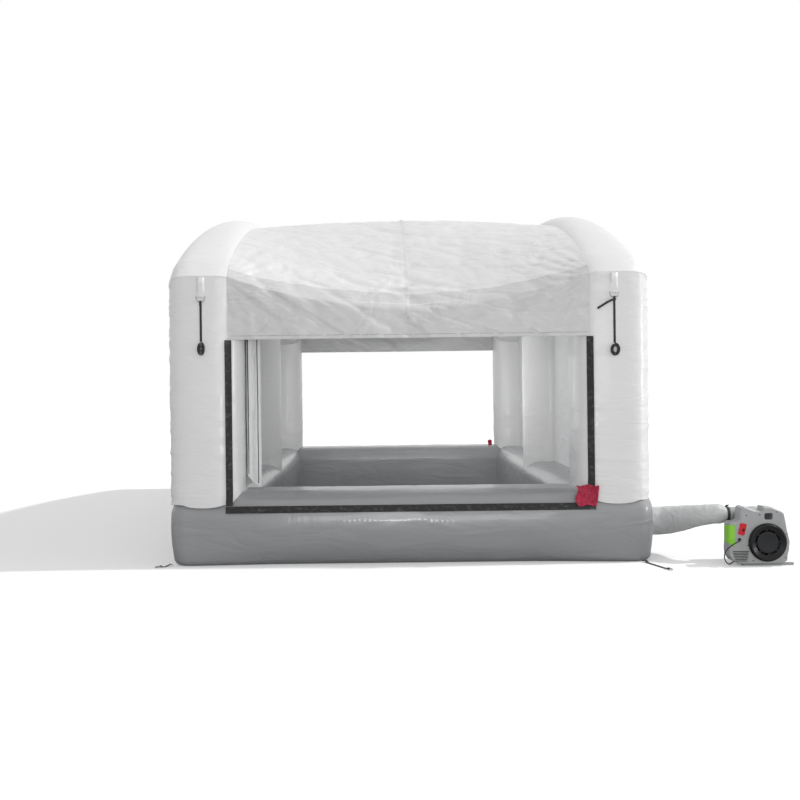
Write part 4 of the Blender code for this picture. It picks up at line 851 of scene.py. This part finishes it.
def roof_sheet():
    columns, step, thick = 112, 0.4, 0.0022
    rings = []
    for r in range(int((len(EDGE_LINE) - 1) / step) + 1):
        rings.append([canopy_point(sin(pi * (c / columns - 0.5)) * 0.4
                                   + (2.0 * c / columns - 1.0) * 0.6, r * step)
                      for c in range(columns + 1)])
    width, lines = columns + 1, len(rings)
    here, after = rings[lines // 2:lines // 2 + 2]
    sign = 1 if (here[3] - here[2]).cross(after[2] - here[2]).z > 0 else -1
    outer = rippled(rings, lambda p, n: canopy_swell(p, n) * sign, False)
    inner = rippled(outer, lambda p, n: -thick * sign, False)
    item = made_mesh("roof_sheet", flatten(outer + inner), sheet_faces(lines, width, sign > 0),
                     ROOF, hides=["roof_canopy"])
    # Slot 1 is the darker valance copy of the roof fabric: painted shade on the sheet's hanging
    # faces
    item.data.materials.append(VALANCE_PAINTED_SHADE)
    for face in item.data.polygons:
        r, c = divmod(min(face.vertices) % (lines * width), width)
        if steep(rings[r][c], rings[min(r + 1, lines - 1)][c]):
            face.material_index = 1
    return item, outer


def roof_details(grid):
    """Centre seam, hem bands and their stitch rows."""
    rows, columns = len(grid), len(grid[0])
    mid = columns // 2
    path = [row[mid] for row in grid]
    ways = []
    for r, row in enumerate(grid):
        heading = path[min(r + 1, rows - 1)] - path[max(r - 1, 0)]
        n = (row[mid + 1] - row[mid - 1]).cross(heading).normalized()
        if n.z < -0.05 or (abs(n.z) <= 0.05 and n.y * path[r].y < 0):
            n = -n
        ways.append((heading.cross(n), n))
    drop = 1
    while steep(path[drop], path[drop + 1]):
        drop += 1
    for part, first, last in (("front", 0, drop), ("roof", drop, rows - drop),
                              ("back", rows - drop, rows)):
        # The seam tape's hanging front and back parts take the valance's painted shade
        tape("seam_" + part, path[first:last + 1], ways[first:last + 1], 0.022, 0.0012,
             ROOF if part == "roof" else VALANCE_PAINTED_SHADE, lift=0.0004)
    for name, shift in (("left", -0.007), ("right", 0.007)):
        moved = [p + across.normalized() * shift for p, (across, _) in zip(path, ways)]
        tape("roof_seam_thread_" + name, moved, ways, 0.0022, 0.0009, PALE_TAB, lift=0.0015)
    for side, end, inward in (("front", 0, 1), ("back", rows - 1, -1)):
        hem, stitch, ways = [], [], []
        for c in range(1, columns - 1):
            p = grid[end][c]
            up = (grid[end + inward * 2][c] - p).normalized()
            n = (grid[end][c + 1] - grid[end][c - 1]).cross(up).normalized()
            hem.append(p + up * 0.016)
            stitch.append(p + up * 0.030)
            ways.append((up, -n if n.y * p.y < 0 else n))
        # Hem bands take the valance's painted shade, like the hanging sheet they sit on
        tape("valance_hem_" + side, hem, ways, 0.030, 0.0014, VALANCE_PAINTED_SHADE, lift=GAP)
        tape("valance_stitch_" + side, stitch, ways, 0.0030, 0.0010, THREAD, lift=0.0014)


# Side walls, floor and curtain

def side_panel(name, x_side, y_side):
    """Fabric panel between two posts, drum-tight, creased at its edges."""
    y0 = SOFT_R + GAP
    wide = POST_Y - SOFT_R - GAP - y0
    columns, rows, thick = 60, 52, 0.0018
    _, out, onward = arch_point(SLOPE)
    corner_z = ELBOW_Z - out.z * SOFT_R - onward.z * (SOFT_R * tan(CREASE))

    def high(c):
        y = y0 + wide * c / columns
        reach = ARC_R - SOFT_R
        return min(ARC_Z + sqrt(reach * reach - y * y),
                   corner_z + (POST_Y - SOFT_R - y) * 0.5 + 0.30)

    points = []
    for face in (1, -1):
        for r in range(rows + 1):
            for c in range(columns + 1):
                y = y0 + wide * c / columns
                top = high(c) - GAP * 2
                z = BASE_H + GAP + (top - BASE_H - GAP) * r / rows
                p = Vector((POST_X, y_side * y, z))
                to_edge = min(c, columns - c) / columns
                inner = min(1.0, 6.0 * to_edge) * min(1.0, 6.0 * min(r, rows - r) / rows)
                wave = 0.006 * soft_noise(p, (1, 1.6, 0.8), 77.0 + x_side)
                wave -= 0.006 * crest_of(p, (1.0, 2.2, 3.4), 71.0 + x_side, 0.15)
                wave += 0.004 * exp(-to_edge * wide / 0.10) * sin(32.0 * z + y_side)
                bulge = sin(pi * (y - y0) / wide)
                bulge *= sin(pi * (z - BASE_H) / (top - BASE_H))
                x = POST_X + 0.014 * max(0.0, bulge) ** 0.6 + wave * inner + face * thick / 2
                points.append(Vector((x_side * x, y_side * y, z)))
    item = made_mesh(name + "_sheet", points,
                     sheet_faces(rows + 1, columns + 1, x_side * y_side > 0), PANEL,
                     hides=[name])


def floor_cloth():
    low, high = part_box("floor_sheet")
    columns, rows, rest, thick = 90, 120, 0.0022, 0.0018
    top = []
    for r in range(rows + 1):
        for c in range(columns + 1):
            x = low.x + (high.x - low.x) * c / columns
            y = low.y + (high.y - low.y) * r / rows
            p = Vector((x, y, 0.0))
            rise = 0.010 * crest_of(p, (1.6, 1.2, 1), 81.0, 0.10)
            rise += 0.004 * crest_of(p, (4.5, 3.8, 1), 87.0, 0.10)
            edge = min(c, columns - c, r, rows - r) / 3.0
            top.append(Vector((x, y, rest + rise * min(1.0, edge))))
    bottom = [p - Vector((0, 0, thick)) for p in top]
    item = made_mesh("floor_cloth", top + bottom, sheet_faces(rows + 1, columns + 1), FLOOR,
                     ["floor_sheet"])


def curtain():
    """Door leaf gathered into folds beside the front left post, its last run over them."""
    folds, per, rows, last, thick = 8, 14, 72, 26, 0.0009
    columns = folds * per + last
    x0 = -(POST_X - SOFT_R) + GAP + 0.0007
    y0 = -(POST_Y - 0.03)
    grid = []
    for r in range(rows + 1):
        h = r / rows
        row = []
        for c in range(columns + 1):
            s = min(1.0, c / (folds * per))
            fade = min(1.0, 6 * s)
            over = max(0, c - folds * per) / last
            low = CURTAIN_FOOT + 0.14 * (1 - s)
            low += 0.012 * sin(2 * pi * folds * s) + 0.10 * over * over
            wide = 0.0425 * (1.05 - 0.15 * h)
            sway = 0.006 * sin(3.0 * h + 7.0 * s) * min(1.0, 4 * s)
            sway += 0.004 * soft_noise(Vector((s, h, 0.0)), (9.0, 5.0, 1), 91.0) * fade
            phase = 2 * pi * folds * s + 0.4 * h
            y = y0 + wide * (sin(phase) + 0.12 * sin(3 * phase)) + sway
            x = x0 + 0.118 * s + 0.5 * sway
            x -= 0.0025 * sin(2 * phase) * fade * min(1.0, 6 * (1 - s))
            if over:
                turn = min(1.0, over / 0.22)
                wave = 0.003 * soft_noise(Vector((over, h, 0.0)), (3.0, 6.0, 1), 95.0)
                wave += 0.0025 * sin(11.0 * over + 2.0 * h)
                y += (y0 - wide - 0.010 + wave - y) * sin(turn * pi / 2)
                x += 0.006 * sin(turn * pi) - 0.108 * max(0.0, over - 0.12) / 0.88
            row.append(Vector((x, y, low + (CURTAIN_TOP - low) * h)))
        grid.append(row)
    other = rippled(grid, lambda p, n: -thick, False)
    item = made_mesh("door_leaf", flatten(grid + other), sheet_faces(rows + 1, columns + 1),
                     VEIL, ["door_curtain"])
    for name, c, wide in (("free_edge", columns - 2, 0.012),
                          ("hook_row", columns - last + 7, 0.008)):
        path, ways = [], []
        for r in range(1, rows):
            side = grid[r][c] - grid[r][c - 2]
            n = side.cross(grid[r + 1][c] - grid[r - 1][c]).normalized()
            path.append(grid[r][c])
            ways.append((side, -n if n.y > 0 else n))
        tape("door_leaf_" + name, path, ways, wide, 0.0012, DARK_EDGE,
                          0.0006)


# Small soft pieces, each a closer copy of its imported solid

def small_soft():
    def ripples(deep, scale, seed):
        return lambda p, n: deep * soft_noise(p, (scale,) * 3, seed)

    def webbing(node, name, cuts, body="booth"):
        refined(node, name, WEBBING, cuts, body)

    for end in ("front", "back"):
        for side in ("left", "right", "sill"):
            cuts, relief = (5, (0.0012, 9, 6.0)) if side == "sill" else (3, (0.0008, 30, 5.0))
            refined(end + "_hook_strip_" + side, end + "_hook_tape_" + side, HOOK,
                    cuts, height=ripples(*relief))
        tag = "pull_tag_" + end + "_right"
        refined(tag, tag + "_cloth", RED_TAG, 3,
                height=ripples(0.0016, 70, 8.0), sharp=80.0, smooth=0.6)
    for side in ("left", "right"):
        refined("ring_tab_" + side, "ring_tab_webbing_" + side, WHITE, 2)
        webbing("tie_strap_" + side, "tie_webbing_" + side, 3, "strap_" + side)
        webbing("strap_coil_" + side, "webbing_coil_" + side, 1, "strap_" + side)
    webbing("strap_tail_right", "webbing_tail_right", 3, "strap_right")
    for corner in CORNERS:
        webbing("anchor_strap_" + corner, "anchor_webbing_" + corner, 2)
    webbing("duct_clamp", "duct_clamp_webbing", 1)
    refined("inlet_collar", "inlet_collar_cloth", SLEEVE, 1)
    first, last, fade = 2.03, 2.53, 0.06
    refined("air_duct", "air_duct_sleeve", SLEEVE, 3, sharp=70.0, smooth=0.6,
            height=lambda p, n: -0.001 + 0.0035 * soft_noise(p, (16, 16, 16), 4.0)
            * min(1.0, max(0.0, min(p.x - first, last - p.x) / fade)))


# Blower

def inlet_bead(name, low, high, rise):
    """Closed ring round the inlet between two radii."""
    sides, steps = 64, 12
    mid, half = (low + high) / 2, (high - low) / 2
    rings = []
    for t in circle(sides):
        out = Vector((cos(t), 0, sin(t)))
        rings.append([Vector((FAN_X, FACE_Y - rise - half * 0.6 * sin(q), FAN_Z))
                      + out * (mid + half * cos(q)) for q in circle(steps)])
    made_mesh(name, flatten(rings), grid_faces(sides, steps, True, True), BLACK)


def green_plate():
    """Label plate wrapped round the housing's left front edge."""
    turn_x, thick, bevel = 2.492, 0.003, 0.002
    rings = []
    for x, dy in ((2.536, -0.0006), (2.520, -0.0006), (2.5055, -0.0006), (2.4975, 0.0050),
                  (2.4928, 0.0130), (turn_x, 0.030), (turn_x, 0.095)):
        share = (x - turn_x) / 0.044
        low, high = 0.180 - 0.022 * share, 0.320 + 0.010 * share
        out = (-1, 0) if dy > 0.012 else (0, -1) if dy < 0 else (-0.7, -0.7)
        near = Vector((x + out[0] * thick, FACE_Y + dy + out[1] * thick, 0))
        rings.append([Vector((x, FACE_Y + dy, low)), Vector((x, FACE_Y + dy, high)),
                      near + Vector((0, 0, high - bevel)), near + Vector((0, 0, low + bevel))])
    tube("side_plate_green", rings, GREEN, sharp=50.0)


def dress_blower():
    finishes = {"blower_inlet_shell": HOUSING, "blower_motor_shell": HOUSING,
                "inlet_grille": BLACK, "impeller": MATT_BLACK, "motor": MOTOR,
                "motor_shaft": STEEL, "switch_plate": RED_SWITCH, "rocker": BLACK,
                "cable_gland": MATT_BLACK, "plug": MATT_BLACK, "d_ring_left": STEEL,
                "d_ring_right": STEEL}
    finishes.update(("anchor_ring_" + corner, STEEL) for corner in CORNERS)
    for name, finish in finishes.items():
        NODES[name].data.materials.clear()
        NODES[name].data.materials.append(finish)
    turned("inlet_centre_cap", FAN_X, FACE_Y - 0.0131, FAN_Z,
           [(0.0, 0.084), (0.0016, 0.0825), (0.0026, 0.078), (0.0030, 0.070), (0.0022, 0.066),
            (0.0024, 0.0003)], DISC, 48, 35.0)
    for n, (low, high, rise) in enumerate((
            (0.104, 0.110, 0.0165), (0.116, 0.123, 0.0235), (0.1285, 0.1400, 0.0300),
            (0.1425, 0.1515, 0.0080)), 1):
        inlet_bead("inlet_bead_" + str(n), low, high, rise)
    green_plate()
    r = 0.0048
    head = [(0.0002, r * 0.9), (0.0016, r), (0.0028, r * 0.75), (0.003, r * 0.4),
            (0.0016, r * 0.36), (0.0014, 0.0002)]
    for n, (x, z) in enumerate(((2.63, 0.400), (2.735, 0.405), (2.87, 0.425), (2.948, 0.25),
                                (2.938, 0.065), (2.68, 0.045), (2.64, 0.165)), 1):
        turned("housing_screw_" + str(n), x, FACE_Y - GAP, z, head, MATT_BLACK, 16, 40.0)
    for k in range(7):
        z = 0.040 + 0.0125 * k
        left = 2.5405 - 0.0042 * k if k < 5 else 2.520
        rounded_bar("nose_rib_" + str(k + 1), (left, FACE_Y - 0.0050, z),
                    (2.632 + 0.003 * k, FACE_Y - GAP, z + 0.0055), 0.002, MATT_BLACK)
        z = 0.10 + 0.022 * k
        rounded_bar("rear_vent_rib_" + str(k + 1), (FAN_X - 0.085, REAR_Y + 0.0005, z),
                    (FAN_X + 0.085, REAR_Y + 0.0045, z + 0.010), 0.0015, HOUSING)


# Stage: floor, light

def seen_rays(tree, *kinds):
    """1 for camera, transmission and the given kinds of ray, else 0."""
    ray = put(tree, "ShaderNodeLightPath")
    found = ray.outputs["Is Camera Ray"]
    for kind in ("Transmission",) + kinds:
        found = maths(tree, "MAXIMUM", found, ray.outputs["Is " + kind + " Ray"])
    return found


def joined(tree, kind, first, second, share=None):
    """A node of two shaders, mixed by a share or added."""
    item = put(tree, kind, Fac=share) if share else put(tree, kind)
    for shader, socket in zip((first, second), item.inputs[-2:]):
        tree.links.new(shader.outputs[0], socket)
    return item


def lamp(name, kind, power, way, place=(0, 0, 0)):
    light = bpy.data.lights.new(name, kind)
    light.energy = power
    item = linked(name, light)
    turn = Vector(way).to_track_quat("-Z", "Y").to_matrix().to_4x4()
    item.matrix_world = Matrix.Translation(place) @ turn
    return item


def set_stage():
    form = bpy.data.meshes.new("studio_floor")
    form.from_pydata([(x, y, -0.0006) for x, y in ((-60, -30), (60, -30), (60, 90), (-60, 90))],
                     [], [(0, 1, 2, 3)])
    made, tree, shader = tree_of("studio_floor_paint", (0.90, 0.90, 0.90), 0.9)
    form.materials.append(made)
    glow = put(tree, "ShaderNodeEmission", Color=(1, 1, 1, 1), Strength=0.22)
    dull = put(tree, "ShaderNodeBsdfDiffuse", Color=(0.45, 0.45, 0.45, 1))
    pale = joined(tree, "ShaderNodeAddShader", shader, glow)
    both = joined(tree, "ShaderNodeMixShader", dull, pale, seen_rays(tree))
    feed(tree, tree.nodes["Material Output"], Surface=both.outputs[0])
    linked("studio_floor", form)

    world = bpy.context.scene.world = bpy.data.worlds.new("studio_world")
    world.use_nodes = True
    tree = world.node_tree
    tree.nodes.clear()
    soft = put(tree, "ShaderNodeBackground", Color=(1, 1, 1, 1), Strength=0.53)
    white = put(tree, "ShaderNodeBackground", Color=(1, 1, 1, 1), Strength=1.0)
    mix = joined(tree, "ShaderNodeMixShader", soft, white, seen_rays(tree, "Glossy"))
    put(tree, "ShaderNodeOutputWorld", Surface=mix.outputs[0])

    lamp("sun_soft", "SUN", 1.8, (-0.92, -0.04, -1.0)).data.angle = radians(2)
    for name, place, aim, size, power in (
            ("inside_glow", (0, 0, 2.42), (0, 0, 0), (2.0, 4.9), 20.0),
            ("right_glow", (0.0, -0.3, 1.5), (2.0, -0.3, 1.5), (4.4, 1.1), 15.0),
            ("back_glow", (0, 0.0, 1.5), (0.2, 3, 1.3), (2.4, 1.0), 10.0),
            ("front_soft", (0.6, -13.0, 2.0), (0, -3, 0.9), (5.0, 2.0), 160.0),
            ("right_rim", (14.0, -6.5, 2.0), (2, -3, 1.0), (2.0, 2.0), 350.0),
            ("front_glint", (0.0, -12.4, 0.85), (0, -3, 0.4), (1.0, 0.12), 45.0)):
        item = lamp(name, "AREA", power, Vector(aim) - Vector(place), place)
        item.visible_camera = False
        item.data.shape = "RECTANGLE"
        item.data.size, item.data.size_y = size
    bpy.context.scene.view_settings.view_transform = "Standard"


def build():
    place_camera()
    mains_cord()
    ends = (("front", -1), ("back", 1))
    for end, y_side in ends:
        base_tube("base_" + end, (0, y_side, 0), (1, 0, 0), POST_Y, POST_X)
    for side, x_side in (("left", -1), ("right", 1)):
        x = x_side * POST_X
        base_tube("base_" + side, (x_side, 0, 0), (0, 1, 0), POST_X, POST_Y)
        upright("post_middle_" + side, x, 0.0, arch_low, 0.0)
        roof_tube("roof_arch_" + side, x)
        for end, y_side in ends:
            upright("post_" + end + "_" + side, x, y_side * POST_Y, post_top, 1.0)
            side_panel("side_wall_" + side + "_" + end, x_side, y_side)
    sheet, grid = roof_sheet()
    roof_details(grid)
    floor_cloth()
    curtain()
    small_soft()
    dress_blower()
    set_stage()


build()
